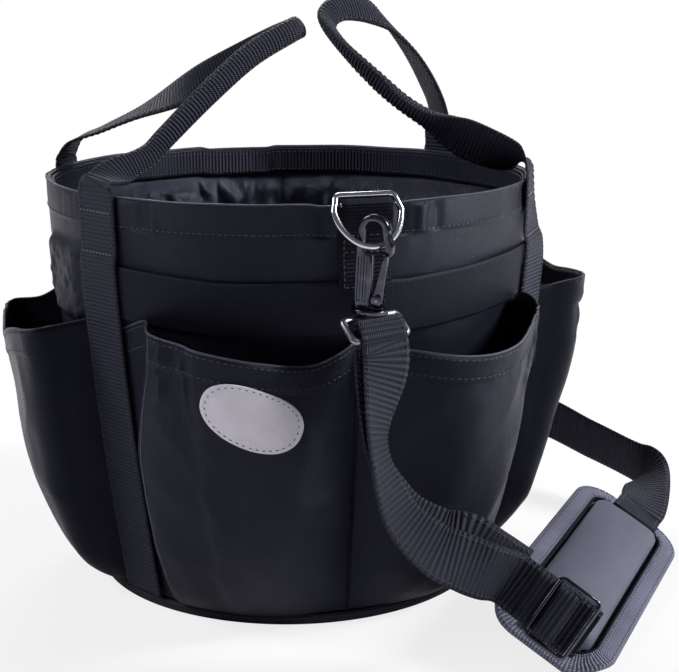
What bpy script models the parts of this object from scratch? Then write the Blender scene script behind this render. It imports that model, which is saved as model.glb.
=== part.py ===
# Round grooming tote bag with six outer pockets, two webbing handles, a D-ring at front and rear,
# and a shoulder strap that clips on with swivel snap hooks and carries a padded rest.
# Metres, +Z up. The origin is the centre of the base's underside. The front ring faces -Y,
# and the handles stand at +X and -X.

import math

import bmesh
import bpy
from mathutils import Matrix, Vector

# Driving dimensions of the bag's body
RIM_RADIUS = 0.152
BASE_RADIUS = 0.1235
BAG_HEIGHT = 0.255
TAPER_POWER = 1.6
CLOTH = 0.0016
HEM_CLOTH = 0.0022
HEM_HEIGHT = 0.0185
GAP = 0.0003
ROUND_STEPS = 48

# Base: stiff panel, inner board and the tape round its edge
BASE_PANEL_THICK = 0.0027
BASE_BOARD_RADIUS = 0.1190
BASE_BOARD_THICK = 0.0025
BINDING_THICK = 0.0024
BINDING_HEIGHT = 0.0065

# Webbing used for straps, handles and bands
WEB_WIDTH = 0.032
WEB_THICK = 0.0018
BAND_LOW = 0.1835
BAND_HIGH = 0.2135
BAND_THICK = 0.0017
RIM_BAND_HEIGHT = 0.017
STRAP_STANDOFF = 0.0023
STRAP_ANGLES = {"front_left": -150.0, "front_right": -30.0, "rear_right": 30.0, "rear_left": 150.0}
STRAP_LEAN = {"front_right": math.radians(15.0)}
HANDLE_AXIS_Z = 0.2625
HANDLE_AXIS_X = 0.1325
HANDLE_ROOT_Y = 0.0765

# Pockets: cloth, lowest line, height of the belly and the tuck under the straps
POCKET_CLOTH = 0.0012
POCKET_LOW = 0.0080
POCKET_BELLY = 0.120
BELLY_POWER = 2.2
TUCK_IN = 0.0120
TUCK_OUT = 0.0172
POCKET_ROWS = (0.0, 0.10, 0.22, 0.36, 0.52, 0.70, 0.90)

# Bare oval patch on the front left pocket
PATCH_ANGLE = -111.3
PATCH_Z = 0.1430
PATCH_HALF_WIDE = 0.0300
PATCH_HALF_HIGH = 0.0172
PATCH_TILT = math.radians(-26.0)

# D-ring with a fixed inner bar. It swings on that bar, and its drop hangs outward.
RING_WIRE = 0.0018
RING_BAR = 0.0016
RING_BAR_HALF = 0.0149
RING_HALF_WIDTH = 0.0193
RING_DROP = 0.0248
RING_TOP = 0.0056
RING_TILT = math.radians(32.0)
RING_AXIS_Y = -0.1560
RING_AXIS_Z = 0.2553
RING_TURN = {"front": math.radians(0.7), "rear": math.radians(180.0)}
REAR_OUT = 0.0035
REAR_DOWN = 0.0080
TAB_LOW = 0.2090
TAB_WEB = 0.0014
TAB_HALF = 0.0146

# Snap hook, drawn flat (u across, w up from the flange) and then turned and leaned
HOOK_SPOT = (-0.0014, -0.1666, 0.2005)
HOOK_TURN = math.radians(-40.0)
HOOK_LEAN = math.radians(3.5)
HOOK_THICK = 0.0052
HOOK_FLANGE = (0.0102, 0.0022)
ARCH_CENTRE_W = 0.0423
ARCH_OUTER = 0.0092
ARCH_INNER = 0.0050
SHANK_INNER = 0.0006
SHANK_TOP = 0.0304
GATE_PIVOT = (0.0044, 0.0052)
GATE_THICK = 0.0040
GATE_OPENING = 12.0
GATE_PIN = 0.00075
EYE_WIRE = 0.0018
EYE_HALF_WIDTH = 0.0202
EYE_DROP = 0.0140
EYE_TURN = math.radians(20.0)
EYE_LEAN = math.radians(50.0)

# Shoulder strap, slider and pad
TURN_HALF = 0.0156
TAIL = 0.0150
SLIDER_CENTRE = Vector((0.0922, -0.2273, 0.0350))
SLIDER_RUN = Vector((0.660, -0.564, -0.495)).normalized()
SLIDER_ACROSS = Vector((0.593, -0.009, 0.806))
SLIDER_HALF = (0.0125, 0.0182)
SLIDER_WIRE = 0.0015
SLIDER_BAR = 0.0012
SLIDER_HEIGHT = 0.0048
PAD_LENGTH = 0.190
PAD_WIDTH = 0.076
PAD_CORNER = 0.026
PAD_EDGE = 0.0018
PAD_TAPE = 0.0120
PAD_CENTRE = Vector((0.1516, -0.1495, 0.0265))
PAD_ALONG = Vector((0.661, 0.750, 0.021)).normalized()
PAD_ACROSS = Vector((-0.659, 0.563, 0.4945))
PAD_CROWN = ((0.0, -0.0003), (0.0, 0.0012), (0.0010, 0.0042), (0.0042, 0.0069), (0.0095, 0.0087),
             (0.0160, 0.0096), (0.0215, 0.0099))

parts = None
cutters = None


def start_scene():
    global parts, cutters
    for item in list(bpy.data.objects):
        bpy.data.objects.remove(item, do_unlink=True)
    parts = bpy.data.collections.new("grooming_tote_bag")
    cutters = bpy.data.collections.new("cutters")
    bpy.context.scene.collection.children.link(parts)
    bpy.context.scene.collection.children.link(cutters)


def finish_material(name, colour, roughness, metallic=0.0):
    material = bpy.data.materials.new(name)
    material.use_nodes = True
    shader = material.node_tree.nodes["Principled BSDF"]
    shader.inputs["Base Color"].default_value = (*colour, 1.0)
    shader.inputs["Roughness"].default_value = roughness
    shader.inputs["Metallic"].default_value = metallic
    return material


def cloth(name):
    return finish_material(name, (0.020, 0.021, 0.027), 0.62)


def webbing(name):
    return finish_material(name, (0.024, 0.025, 0.032), 0.75)


def metal(name):
    return finish_material(name, (0.22, 0.22, 0.24), 0.28, 1.0)


def place(name, mesh, material, smooth_angle=None, collection=None):
    item = bpy.data.objects.new(name, mesh)
    (collection or parts).objects.link(item)
    mesh.materials.clear()
    if material:
        mesh.materials.append(material)
    if smooth_angle:
        mesh.shade_smooth()
        mesh.set_sharp_from_angle(angle=math.radians(smooth_angle))
    return item


def mesh_from(name, points, faces):
    mesh = bpy.data.meshes.new(name)
    mesh.from_pydata([tuple(p) for p in points], [], faces)
    mesh.update()
    return mesh


def add_cutter(name, mesh):
    cutter = place(name, mesh, None, collection=cutters)
    cutter.hide_render = True
    cutter.display_type = "WIRE"
    return cutter


def boolean(item, other, operation):
    step = item.modifiers.new(operation.lower(), "BOOLEAN")
    step.operation = operation
    step.solver = "EXACT"
    step.object = other


def solidify(item, thickness, offset=1.0):
    step = item.modifiers.new("thickness", "SOLIDIFY")
    step.thickness = thickness
    step.offset = offset
    step.use_even_offset = True


def bevel(item, width, segments=1):
    step = item.modifiers.new("soft_edges", "BEVEL")
    step.width = width
    step.segments = segments
    step.limit_method = "ANGLE"
    step.angle_limit = math.radians(40)


def turned(name, outline, material, steps=ROUND_STEPS, smooth_angle=35):
    """Spin a closed outline of (radius, z) points, listed down its outer side first."""
    points = [(r, 0.0, z) for r, z in outline]
    mesh = bpy.data.meshes.new(name)
    edges = [(i, (i + 1) % len(points)) for i in range(len(points))]
    mesh.from_pydata(points, edges, [])
    item = place(name, mesh, material)
    spin = item.modifiers.new("spin", "SCREW")
    spin.steps = steps
    spin.render_steps = steps
    spin.use_merge_vertices = True
    spin.merge_threshold = 0.00001
    spin.use_smooth_shade = False
    return item


def disc(name, radius, low, high, material, steps=ROUND_STEPS):
    bm = bmesh.new()
    bmesh.ops.create_cone(bm, cap_ends=True, segments=steps, radius1=radius, radius2=radius,
                          depth=high - low)
    bmesh.ops.translate(bm, verts=bm.verts, vec=(0, 0, (low + high) / 2))
    mesh = bpy.data.meshes.new(name)
    bm.to_mesh(mesh)
    bm.free()
    return place(name, mesh, material, 40)


def rod_mesh(name, start, end, radius, steps=12):
    start, end = Vector(start), Vector(end)
    bm = bmesh.new()
    bmesh.ops.create_cone(bm, cap_ends=True, segments=steps, radius1=radius, radius2=radius,
                          depth=(end - start).length)
    turn = (end - start).to_track_quat("Z", "Y").to_matrix().to_4x4()
    bmesh.ops.transform(bm, verts=bm.verts, matrix=Matrix.Translation((start + end) / 2) @ turn)
    mesh = bpy.data.meshes.new(name)
    bm.to_mesh(mesh)
    bm.free()
    return mesh


def curve_mesh(name, points, radius, cyclic=True, sides=2):
    """A round wire along the points, as a mesh."""
    curve = bpy.data.curves.new(name, "CURVE")
    curve.dimensions = "3D"
    curve.bevel_depth = radius
    curve.bevel_resolution = sides
    curve.use_fill_caps = True
    line = curve.splines.new("POLY")
    line.points.add(len(points) - 1)
    for spot, point in zip(line.points, points):
        spot.co = (*point, 1.0)
    line.use_cyclic_u = cyclic
    return curve_to_mesh(name, curve)


def plate_mesh(name, outline, thickness, edge=0.0):
    """A flat outline of (u, w) points, extruded evenly to both sides along Y."""
    curve = bpy.data.curves.new(name, "CURVE")
    curve.dimensions = "2D"
    curve.fill_mode = "BOTH"
    curve.extrude = thickness / 2 - edge
    curve.bevel_depth = edge
    curve.bevel_resolution = 0
    curve.offset = -edge
    line = curve.splines.new("POLY")
    line.points.add(len(outline) - 1)
    for spot, (u, w) in zip(line.points, outline):
        spot.co = (u, w, 0.0, 1.0)
    line.use_cyclic_u = True
    mesh = curve_to_mesh(name, curve)
    mesh.transform(Matrix.Rotation(math.radians(90), 4, "X"))
    return mesh


def curve_to_mesh(name, curve):
    item = bpy.data.objects.new(name + "_curve", curve)
    parts.objects.link(item)
    bpy.context.view_layer.update()
    seen = item.evaluated_get(bpy.context.evaluated_depsgraph_get())
    mesh = bpy.data.meshes.new_from_object(seen)
    mesh.name = name
    bpy.data.objects.remove(item, do_unlink=True)
    bm = bmesh.new()
    bm.from_mesh(mesh)
    bmesh.ops.remove_doubles(bm, verts=bm.verts, dist=0.000005)
    bmesh.ops.recalc_face_normals(bm, faces=bm.faces)
    bm.to_mesh(mesh)
    bm.free()
    return mesh


def polar(radius, degrees, z):
    turn = math.radians(degrees)
    return Vector((radius * math.cos(turn), radius * math.sin(turn), z))


def wall_radius(z):
    """The wall's outer radius: widest at the rim, drawn in to the base on a soft curve."""
    rise = min(max(z / BAG_HEIGHT, 0.0), 1.0)
    return RIM_RADIUS - (RIM_RADIUS - BASE_RADIUS) * (1.0 - rise) ** TAPER_POWER


def smooth(values, t):
    """A Catmull-Rom curve through the values, with t from 0 to 1 along all of them."""
    spans = len(values) - 1
    place_on = min(max(t, 0.0), 1.0) * spans
    i = min(int(place_on), spans - 1)
    f = place_on - i
    p0 = values[max(i - 1, 0)]
    p1, p2 = values[i], values[i + 1]
    p3 = values[min(i + 2, spans)]
    return (p1 * 2 + (p2 - p0) * f + (p0 * 2 - p1 * 5 + p2 * 4 - p3) * f * f
            + (p1 * 3 - p0 - p2 * 3 + p3) * f * f * f) * 0.5


def section(centre, across, up, half_width, half_thick, squareness):
    """Eight points round a webbing section. High squareness is flat webbing, 2 is a rolled grip."""
    ring = []
    for k in range(8):
        c = math.cos(math.radians(45 * k))
        s = math.sin(math.radians(45 * k))
        x = math.copysign(abs(c) ** (2 / squareness), c) if abs(c) > 0.001 else 0.0
        y = math.copysign(abs(s) ** (2 / squareness), s) if abs(s) > 0.001 else 0.0
        ring.append(centre + across * half_width * x + up * half_thick * y)
    return ring


def web_loft(name, stops, material, steps=4, joined=True, first_run=None, last_run=None):
    """Webbing through stops of (centre, across, half_width, half_thick, squareness).

    The section is turned square to the path at each step, and the ends are closed. A given first
    or last run sets the direction that an end is cut square to.
    """
    centres = [Vector(s[0]) for s in stops]
    sides = [Vector(s[1]).normalized() for s in stops]
    sizes = [Vector((s[2], s[3], s[4])) for s in stops]
    count = (len(stops) - 1) * steps if joined else len(stops) - 1
    points = []
    for n in range(count + 1):
        t = n / count
        centre = smooth(centres, t)
        ahead = smooth(centres, min(t + 0.02 / len(stops), 1.0))
        behind = smooth(centres, max(t - 0.02 / len(stops), 0.0))
        run = (ahead - behind).normalized()
        if n == 0 and first_run:
            run = Vector(first_run).normalized()
        if n == count and last_run:
            run = Vector(last_run).normalized()
        across = smooth(sides, t)
        across = (across - run * across.dot(run)).normalized()
        up = run.cross(across)
        half_width, half_thick, squareness = smooth(sizes, t)
        points.extend(section(centre, across, up, half_width, half_thick, squareness))
    faces = [tuple(range(7, -1, -1))]
    for n in range(count):
        for k in range(8):
            a, b = n * 8 + k, n * 8 + (k + 1) % 8
            faces.append((a, b, b + 8, a + 8))
    last = count * 8
    faces.append(tuple(range(last, last + 8)))
    return place(name, mesh_from(name, points, faces), material, 40)


def flat(centre, across, half_width=WEB_WIDTH / 2):
    return (centre, across, half_width, WEB_THICK / 2, 14)


def strip(name, rows, material, thickness, offset=1.0, smooth_angle=50):
    """An open sheet through rows of points, given a thickness."""
    wide = len(rows[0])
    points = [p for row in rows for p in row]
    faces = []
    for r in range(len(rows) - 1):
        for c in range(wide - 1):
            a = r * wide + c
            faces.append((a, a + 1, a + wide + 1, a + wide))
    item = place(name, mesh_from(name, points, faces), material, smooth_angle)
    solidify(item, thickness, offset)
    return item


# The bag's body

def make_wall():
    heights = [0.0030, 0.012, 0.030, 0.060, 0.100, 0.145, 0.190]
    hem = BAG_HEIGHT - HEM_HEIGHT
    outline = [(RIM_RADIUS - 0.0004, BAG_HEIGHT), (wall_radius(BAG_HEIGHT - 0.0008), BAG_HEIGHT - 0.0008)]
    outline.append((wall_radius(hem), hem))
    outline.extend((wall_radius(z), z) for z in reversed(heights))
    outline.extend((wall_radius(z) - CLOTH, z) for z in heights)
    outline.append((wall_radius(hem) - CLOTH, hem - 0.0006))
    outline.append((wall_radius(hem) - HEM_CLOTH, hem))
    outline.append((wall_radius(BAG_HEIGHT - 0.0008) - HEM_CLOTH, BAG_HEIGHT - 0.0008))
    outline.append((RIM_RADIUS - HEM_CLOTH + 0.0004, BAG_HEIGHT))
    turned("body_wall", outline, cloth("body_cloth"))


def make_base():
    disc("base_panel", BASE_RADIUS + 0.0013, 0.0, BASE_PANEL_THICK, cloth("base_cloth"))
    low = BASE_PANEL_THICK + GAP
    board = finish_material("board", (0.03, 0.03, 0.033), 0.5)
    disc("base_board", BASE_BOARD_RADIUS, low, low + BASE_BOARD_THICK, board)
    inner = BASE_RADIUS + 0.0017
    edge = 0.0006
    outer = inner + BINDING_THICK
    outline = [(outer - edge, BINDING_HEIGHT), (outer, BINDING_HEIGHT - edge), (outer, 0.0003 + edge),
               (outer - edge, 0.0003), (inner, 0.0003), (inner, BINDING_HEIGHT)]
    turned("base_binding", outline, webbing("base_tape"))


def make_bands():
    band = []
    for z, out in ((BAND_HIGH, True), (BAND_LOW, True), (BAND_LOW, False), (BAND_HIGH, False)):
        band.append((wall_radius(z) + GAP + (BAND_THICK if out else 0.0), z))
    turned("tool_band", band, webbing("band_webbing"))
    high = BAG_HEIGHT - 0.0015
    low = high - RIM_BAND_HEIGHT
    rim = []
    for z, out in ((high, True), (low, True), (low, False), (high, False)):
        rim.append((wall_radius(z) - HEM_CLOTH - GAP - (0.0 if out else WEB_THICK), z))
    turned("rim_webbing", rim, webbing("rim_web"))


def strap_standoff(z):
    """Straps lie on the wall at the rim and step out over the tool band and the pocket seams."""
    step = min(max((BAND_HIGH + 0.0105 - z) / 0.008, 0.0), 1.0)
    return 0.0004 + (STRAP_STANDOFF - 0.0004) * step * step * (3 - 2 * step)


def lean_share(z):
    """How much of a strap's lean shows at a height: all beside the pocket mouths, none at rim and base."""
    rise = min(max((z - 0.100) / 0.070, 0.0), 1.0) * min(max((BAG_HEIGHT - z) / 0.055, 0.0), 1.0)
    return rise * rise * (3 - 2 * rise)


def make_wall_straps():
    """Four straps up the wall. A stuffed side pocket pushes one edge of the front right strap out."""
    heights = (0.0082, 0.014, 0.025, 0.045, 0.075, 0.115, 0.155, 0.19, 0.216, 0.2195, 0.2235, 0.2420, 0.2550)
    for name, degrees in STRAP_ANGLES.items():
        outward = polar(1.0, degrees, 0.0)
        along = polar(1.0, degrees + 90.0, 0.0)
        side = 1.0 if along.y > 0 else -1.0
        stops = []
        for z in heights:
            lean = STRAP_LEAN.get(name, 0.0) * lean_share(z)
            middle = wall_radius(z) + strap_standoff(z) + WEB_THICK / 2 + WEB_WIDTH / 2 * math.sin(lean)
            across = along * side * math.cos(lean) + outward * math.sin(lean)
            stops.append(flat(outward * middle + Vector((0, 0, z)), across))
        hand = math.copysign(1.0, outward.x)
        near = math.copysign(1.0, outward.y)
        top = HANDLE_AXIS_Z - WEB_THICK / 2 - 3 * GAP
        root = Vector((hand * HANDLE_AXIS_X, near * HANDLE_ROOT_Y, top))
        halfway = stops[-1][0].lerp(root, 0.5) + Vector((0, 0, 0.0006))
        stops.append(flat(halfway, along * side + Vector((0, 1, 0)) * 0.8))
        stops.append(flat(root, Vector((0, 1, 0))))
        web_loft("strap_" + name, stops, webbing("strap_web_" + name), joined=False, last_run=(0, 0, 1))


# The two handles: flat at the roots and folded lengthwise into a grip over the middle

LEFT_HANDLE = (
    # point on the loop, direction across the webbing, half width, half thickness, squareness
    ((-0.1300, -0.0760, 0.2668), (0.05, -1.00, 0.00), 0.0160, 0.0009, 14),
    ((-0.1238, -0.0725, 0.2700), (0.20, -0.97, -0.02), 0.0160, 0.0009, 14),
    ((-0.1134, -0.0640, 0.2730), (0.35, -0.93, -0.06), 0.0158, 0.0010, 12),
    ((-0.0984, -0.0530, 0.2778), (0.42, -0.75, -0.35), 0.0145, 0.0016, 8),
    ((-0.0864, -0.0455, 0.2849), (0.46, -0.40, -0.70), 0.0105, 0.0036, 3.5),
    ((-0.0584, -0.0345, 0.3074), (0.48, 0.10, -0.86), 0.0075, 0.0042, 2.6),
    ((-0.0293, -0.0215, 0.3288), (0.52, 0.00, -0.85), 0.0075, 0.0042, 2.6),
    ((-0.0009, -0.0090, 0.3425), (0.52, 0.00, -0.85), 0.0073, 0.0040, 2.6),
    ((0.0062, 0.0030, 0.3440), (0.52, 0.00, -0.85), 0.0073, 0.0040, 2.6),
    ((-0.0060, 0.0160, 0.3370), (0.52, -0.05, -0.85), 0.0078, 0.0036, 3),
    ((-0.0365, 0.0345, 0.3172), (0.40, -0.30, -0.80), 0.0110, 0.0024, 5),
    ((-0.0606, 0.0470, 0.3028), (0.20, -0.55, -0.75), 0.0145, 0.0012, 9),
    ((-0.0850, 0.0590, 0.2900), (-0.10, -0.80, -0.50), 0.0158, 0.0010, 12),
    ((-0.1090, 0.0690, 0.2785), (-0.22, -0.95, -0.15), 0.0160, 0.0009, 14),
    ((-0.1250, 0.0750, 0.2715), (-0.08, -1.00, -0.05), 0.0160, 0.0009, 14),
)

RIGHT_HANDLE = (
    ((0.1300, -0.0760, 0.2670), (0.05, 1.00, 0.00), 0.0160, 0.0009, 14),
    ((0.1232, -0.0740, 0.2715), (0.22, 0.95, 0.05), 0.0160, 0.0009, 14),
    ((0.1094, -0.0685, 0.2749), (0.35, 0.80, -0.30), 0.0160, 0.0009, 14),
    ((0.0927, -0.0600, 0.2826), (0.42, 0.70, -0.50), 0.0155, 0.0010, 12),
    ((0.0759, -0.0520, 0.2896), (0.45, 0.55, -0.65), 0.0145, 0.0014, 8),
    ((0.0594, -0.0430, 0.3015), (0.50, 0.35, -0.78), 0.0115, 0.0026, 5),
    ((0.0435, -0.0320, 0.3169), (0.55, 0.20, -0.80), 0.0090, 0.0034, 3.5),
    ((0.0290, -0.0175, 0.3345), (0.62, 0.05, -0.78), 0.0080, 0.0036, 3),
    ((0.0245, -0.0020, 0.3480), (0.66, 0.00, -0.75), 0.0078, 0.0036, 3),
    ((0.0350, 0.0085, 0.3555), (0.60, -0.15, -0.78), 0.0085, 0.0034, 3),
    ((0.0520, 0.0175, 0.3555), (0.50, -0.35, -0.79), 0.0100, 0.0028, 4),
    ((0.0700, 0.0280, 0.3500), (0.42, -0.60, -0.68), 0.0130, 0.0016, 8),
    ((0.0881, 0.0410, 0.3361), (0.35, -0.80, -0.48), 0.0155, 0.0010, 12),
    ((0.1047, 0.0520, 0.3189), (0.22, -0.92, -0.30), 0.0160, 0.0009, 14),
    ((0.1185, 0.0620, 0.2999), (0.12, -0.97, -0.15), 0.0160, 0.0009, 14),
    ((0.1285, 0.0710, 0.2815), (0.05, -1.00, -0.05), 0.0160, 0.0009, 14),
    ((0.1318, 0.0755, 0.2680), (0.00, -1.00, 0.00), 0.0160, 0.0009, 14),
)


def make_handle(name, hand, stops):
    """The loop's two ends sit on the swing axis, which joins the tops of its two wall straps."""
    first = Vector((hand * HANDLE_AXIS_X, -HANDLE_ROOT_Y, HANDLE_AXIS_Z))
    last = Vector((hand * HANDLE_AXIS_X, HANDLE_ROOT_Y, HANDLE_AXIS_Z))
    y_start = math.copysign(1.0, stops[0][1][1])
    y_end = math.copysign(1.0, stops[-1][1][1])
    whole = [flat(first, (0, y_start, 0)), *stops, flat(last, (0, y_end, 0))]
    starts = whole[1][0][0] - first.x, 0.0, whole[1][0][2] - first.z
    ends = last.x - whole[-2][0][0], 0.0, last.z - whole[-2][0][2]
    handle = web_loft(name, whole, webbing(name + "_web"), steps=3, first_run=starts, last_run=ends)
    axis = bpy.data.objects.new(name + "_axis", None)
    parts.objects.link(axis)
    axis.location = (hand * HANDLE_AXIS_X, 0.0, HANDLE_AXIS_Z)
    handle.parent = axis
    handle.matrix_parent_inverse = Matrix.Translation(-axis.location)


# Pockets

def belly(z):
    """How far the pocket has bellied out at a height, from 0 at the base seam to 1."""
    rise = min(max((z - POCKET_LOW) / (POCKET_BELLY - POCKET_LOW), 0.0), 1.0)
    return (1.0 - (1.0 - rise) ** BELLY_POWER) ** (1.0 / BELLY_POWER)


def front_pocket(corner, corner_out, middle_out, corner_high, tops):
    """A pocket between a wall strap (at 0) and the ring seam (at 60), in degrees from the strap.

    Its side at the strap is folded in behind the corner, and tops are the mouth's heights from there.
    """
    return {
        "angles": (None, None, corner * 0.80, corner, corner + 7, 30, 40, 50, None),
        "outs": (GAP, GAP, corner_out * 0.42, corner_out, corner_out + (middle_out - corner_out) * 0.5,
                 middle_out, middle_out * 0.92, middle_out * 0.46, GAP),
        "tops": (0.1795, 0.1805, corner_high + 0.0030, corner_high, *tops, 0.1780),
        "ends": (TUCK_IN, TUCK_OUT, 0.0011)}


def side_pocket(middle_out, corner_high, middle_high, droop):
    """A pocket between two wall straps, square at its corners, with a folded side at each strap."""
    half = ((None, GAP, 0.1795), (None, GAP, 0.1800), (8.4, middle_out * 0.50, (0.1795 + corner_high) / 2),
            (9.8, middle_out * 0.97, corner_high), (15.0, middle_out * 1.03, corner_high - droop),
            (22.5, middle_out, (corner_high + middle_high) / 2), (30.0, middle_out * 0.98, middle_high))
    whole = list(half) + [(60 - a if a else None, o, h) for a, o, h in reversed(half[:-1])]
    return {"angles": tuple(p[0] for p in whole), "outs": tuple(p[1] for p in whole),
            "tops": tuple(p[2] for p in whole), "ends": (TUCK_IN, TUCK_OUT, None)}


LEFT_MOUTH = (0.1825, 0.1803, 0.1745, 0.1695)
RIGHT_MOUTH = (0.1795, 0.1708, 0.1695, 0.1735)
POCKETS = {
    # name: start strap, turning direction, shape
    "pocket_front_left": (-150.0, 1.0, front_pocket(19.0, 0.0240, 0.0340, 0.1860, LEFT_MOUTH)),
    "pocket_front_right": (-30.0, -1.0, front_pocket(14.0, 0.0185, 0.0335, 0.1860, RIGHT_MOUTH)),
    "pocket_right": (-30.0, 1.0, side_pocket(0.0385, 0.1880, 0.1830, 0.0)),
    "pocket_rear_right": (30.0, 1.0, front_pocket(14.0, 0.0185, 0.0335, 0.1860, RIGHT_MOUTH)),
    "pocket_rear_left": (150.0, -1.0, front_pocket(19.0, 0.0240, 0.0340, 0.1860, LEFT_MOUTH)),
    "pocket_left": (150.0, 1.0, side_pocket(0.0360, 0.1765, 0.1610, 0.002))}


def pocket_columns(shape, z):
    """The pocket's angles from its strap at a height. The tucks are arc lengths along the wall."""
    radius = wall_radius(z)
    tuck_in, tuck_out, seam = [math.degrees(e / radius) if e else None for e in shape["ends"]]
    angles = list(shape["angles"])
    angles[0], angles[1] = tuck_in, tuck_out
    if seam is None:
        angles[-1], angles[-2] = 60 - tuck_in, 60 - tuck_out
    else:
        angles[-1] = 60 - seam
    return angles


def pocket_point(pocket, column, rise, lift=0.0):
    """A point on a pocket: column counts its plan points, rise is 0 at the base and 1 at the mouth."""
    start, direction, shape = pocket
    spans = len(shape["outs"]) - 1
    t = column / spans
    top = smooth(shape["tops"], t)
    z = POCKET_LOW + (top - POCKET_LOW) * rise
    angles = pocket_columns(shape, z)
    spread = (1.0 - min(max(rise, 0.0), 1.0)) ** 1.5 * 0.35
    even = [angles[1] + (angles[-1] - angles[1]) * k / (spans - 1) for k in range(-1, spans)]
    mixed = [a if k < 2 or k > spans - 2 and shape["ends"][2] is None or k == spans
             else a + (e - a) * spread for k, (a, e) in enumerate(zip(angles, even))]
    angle = smooth(mixed, t)
    out = max(smooth(shape["outs"], t), GAP)
    bulge = GAP + (out - GAP) * belly(z)
    return polar(wall_radius(z) + bulge + lift, start + direction * angle, z)


def make_pockets():
    for name, pocket in POCKETS.items():
        spans = len(pocket[2]["outs"]) - 1
        columns = [0.0, 1.0]
        for k in range(1, spans):
            last = pocket[2]["ends"][2] is None and k == spans - 1
            columns.extend([k + 1.0] if last else [k + 0.5, k + 1.0])
        rows = []
        for rise in (*POCKET_ROWS, 1.0):
            rows.append([pocket_point(pocket, c, rise ** 1.6) for c in columns])
        outward = -1.0 if pocket[1] < 0 else 1.0
        strip(name, rows, cloth(name + "_cloth"), POCKET_CLOTH, offset=outward)


def make_patch():
    """A bare woven patch with an oval outline, sewn on the front left pocket."""
    pocket = POCKETS["pocket_front_left"]
    half_wide, half_high, tilt = PATCH_HALF_WIDE, PATCH_HALF_HIGH, PATCH_TILT
    rings = []
    for size in (0.25, 0.6, 1.0):
        ring = []
        for k in range(28):
            turn = 2 * math.pi * k / 28
            c, s = math.cos(turn), math.sin(turn)
            x = math.copysign(abs(c) ** 0.90, c) * half_wide * size
            y = math.copysign(abs(s) ** 0.90, s) * half_high * size
            across = x * math.cos(tilt) - y * math.sin(tilt)
            high = PATCH_Z + x * math.sin(tilt) + y * math.cos(tilt)
            ring.append(patch_point(pocket, across, high))
        rings.append(ring)
    rings.insert(0, [patch_point(pocket, 0.0, PATCH_Z)])
    points = [p for ring in rings for p in ring]
    faces = []
    for k in range(28):
        n = (k + 1) % 28
        faces.append((0, 1 + k, 1 + n))
        for r in range(2):
            a, b = 1 + r * 28, 1 + (r + 1) * 28
            faces.append((a + k, b + k, b + n, a + n))
    material = finish_material("patch_cloth", (0.62, 0.60, 0.68), 0.8)
    item = place("oval_patch", mesh_from("oval_patch", points, faces), material, 50)
    solidify(item, 0.0008, offset=1.0)


def patch_point(pocket, across, high):
    """Find the pocket's surface at a distance across from the patch's centre, and at a height."""
    target = PATCH_ANGLE + math.degrees(across / 0.180)
    low, up = 2.0, 7.5
    for _ in range(24):
        middle = (low + up) / 2
        rise = rise_at(pocket, middle, high)
        point = pocket_point(pocket, middle, rise)
        if math.degrees(math.atan2(point.y, point.x)) < target:
            low = middle
        else:
            up = middle
    return pocket_point(pocket, middle, rise, POCKET_CLOTH + 2 * GAP)


def rise_at(pocket, column, high):
    shape = pocket[2]
    top = smooth(shape["tops"], column / (len(shape["outs"]) - 1))
    return (high - POCKET_LOW) / (top - POCKET_LOW)


# D-rings, tabs and snap hooks. Each is built for the front and turned about Z for the rear.

def rear_shift(side):
    """The rear set sits lower on the wall than the front one, and so a little further out."""
    return (REAR_OUT, REAR_DOWN) if side == "rear" else (0.0, 0.0)


def side_matrix(side):
    out, down = rear_shift(side)
    return Matrix.Rotation(RING_TURN[side], 4, "Z") @ Matrix.Translation((0, -out, -down))


def ring_outline():
    """The D, in (x, z) round its inner bar: a flat top with tight corners and a half-round below."""
    corner, reach = 0.0030, 0.0138
    points = [(reach + x, z) for x, z in arc((0.0, RING_TOP - corner), corner, 90, 0, 3)]
    for k in range(11):
        turn = math.radians(-9 - 16.2 * k)
        points.append((RING_HALF_WIDTH * math.cos(turn), RING_DROP * math.sin(turn)))
    points += [(x - reach, z) for x, z in arc((0.0, RING_TOP - corner), corner, 180, 90, 3)]
    return points


def make_ring(side):
    swing = Matrix.Rotation(-RING_TILT, 4, "X")
    frame = side_matrix(side) @ Matrix.Translation((0, RING_AXIS_Y, RING_AXIS_Z))
    points = [swing @ Vector((x, 0, z)) for x, z in ring_outline()]
    ring = place(side + "_ring", curve_mesh(side + "_ring", points, RING_WIRE), metal(side + "_ring_metal"), 40)
    bar_mesh = rod_mesh(side + "_ring_bar", (-RING_BAR_HALF, 0, 0), (RING_BAR_HALF, 0, 0), RING_BAR)
    bar = place(side + "_ring_bar", bar_mesh, metal(side + "_bar_metal"), 40)
    ring.matrix_world = frame
    bar.matrix_world = frame


def make_tab(side):
    """A folded tab: up the wall, round the ring's inner bar and down again in front."""
    radius = RING_BAR + GAP + TAB_WEB / 2
    half = TAB_WEB / 2
    out, down = rear_shift(side)
    back = []
    for z in (TAB_LOW - down, 0.2150, 0.2190, 0.2240, 0.2400 - down):
        back.append((-(wall_radius(z) + strap_standoff(z) + half), z))
    front = [(y - TAB_WEB - GAP, z) for y, z in reversed(back)]
    loop = []
    for k in range(9):
        turn = math.radians(-30 + 30 * k)
        loop.append((RING_AXIS_Y - out + radius * math.cos(turn), RING_AXIS_Z - down + radius * math.sin(turn)))
    path = back + loop + front
    stops = []
    for y, z in path:
        stops.append((Vector((0, y, z)), Vector((1, 0, 0)), TAB_HALF, half, 14))
    tab = web_loft(side + "_ring_tab", stops, webbing(side + "_tab_web"), joined=False)
    tab.matrix_world = Matrix.Rotation(RING_TURN[side], 4, "Z")


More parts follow.
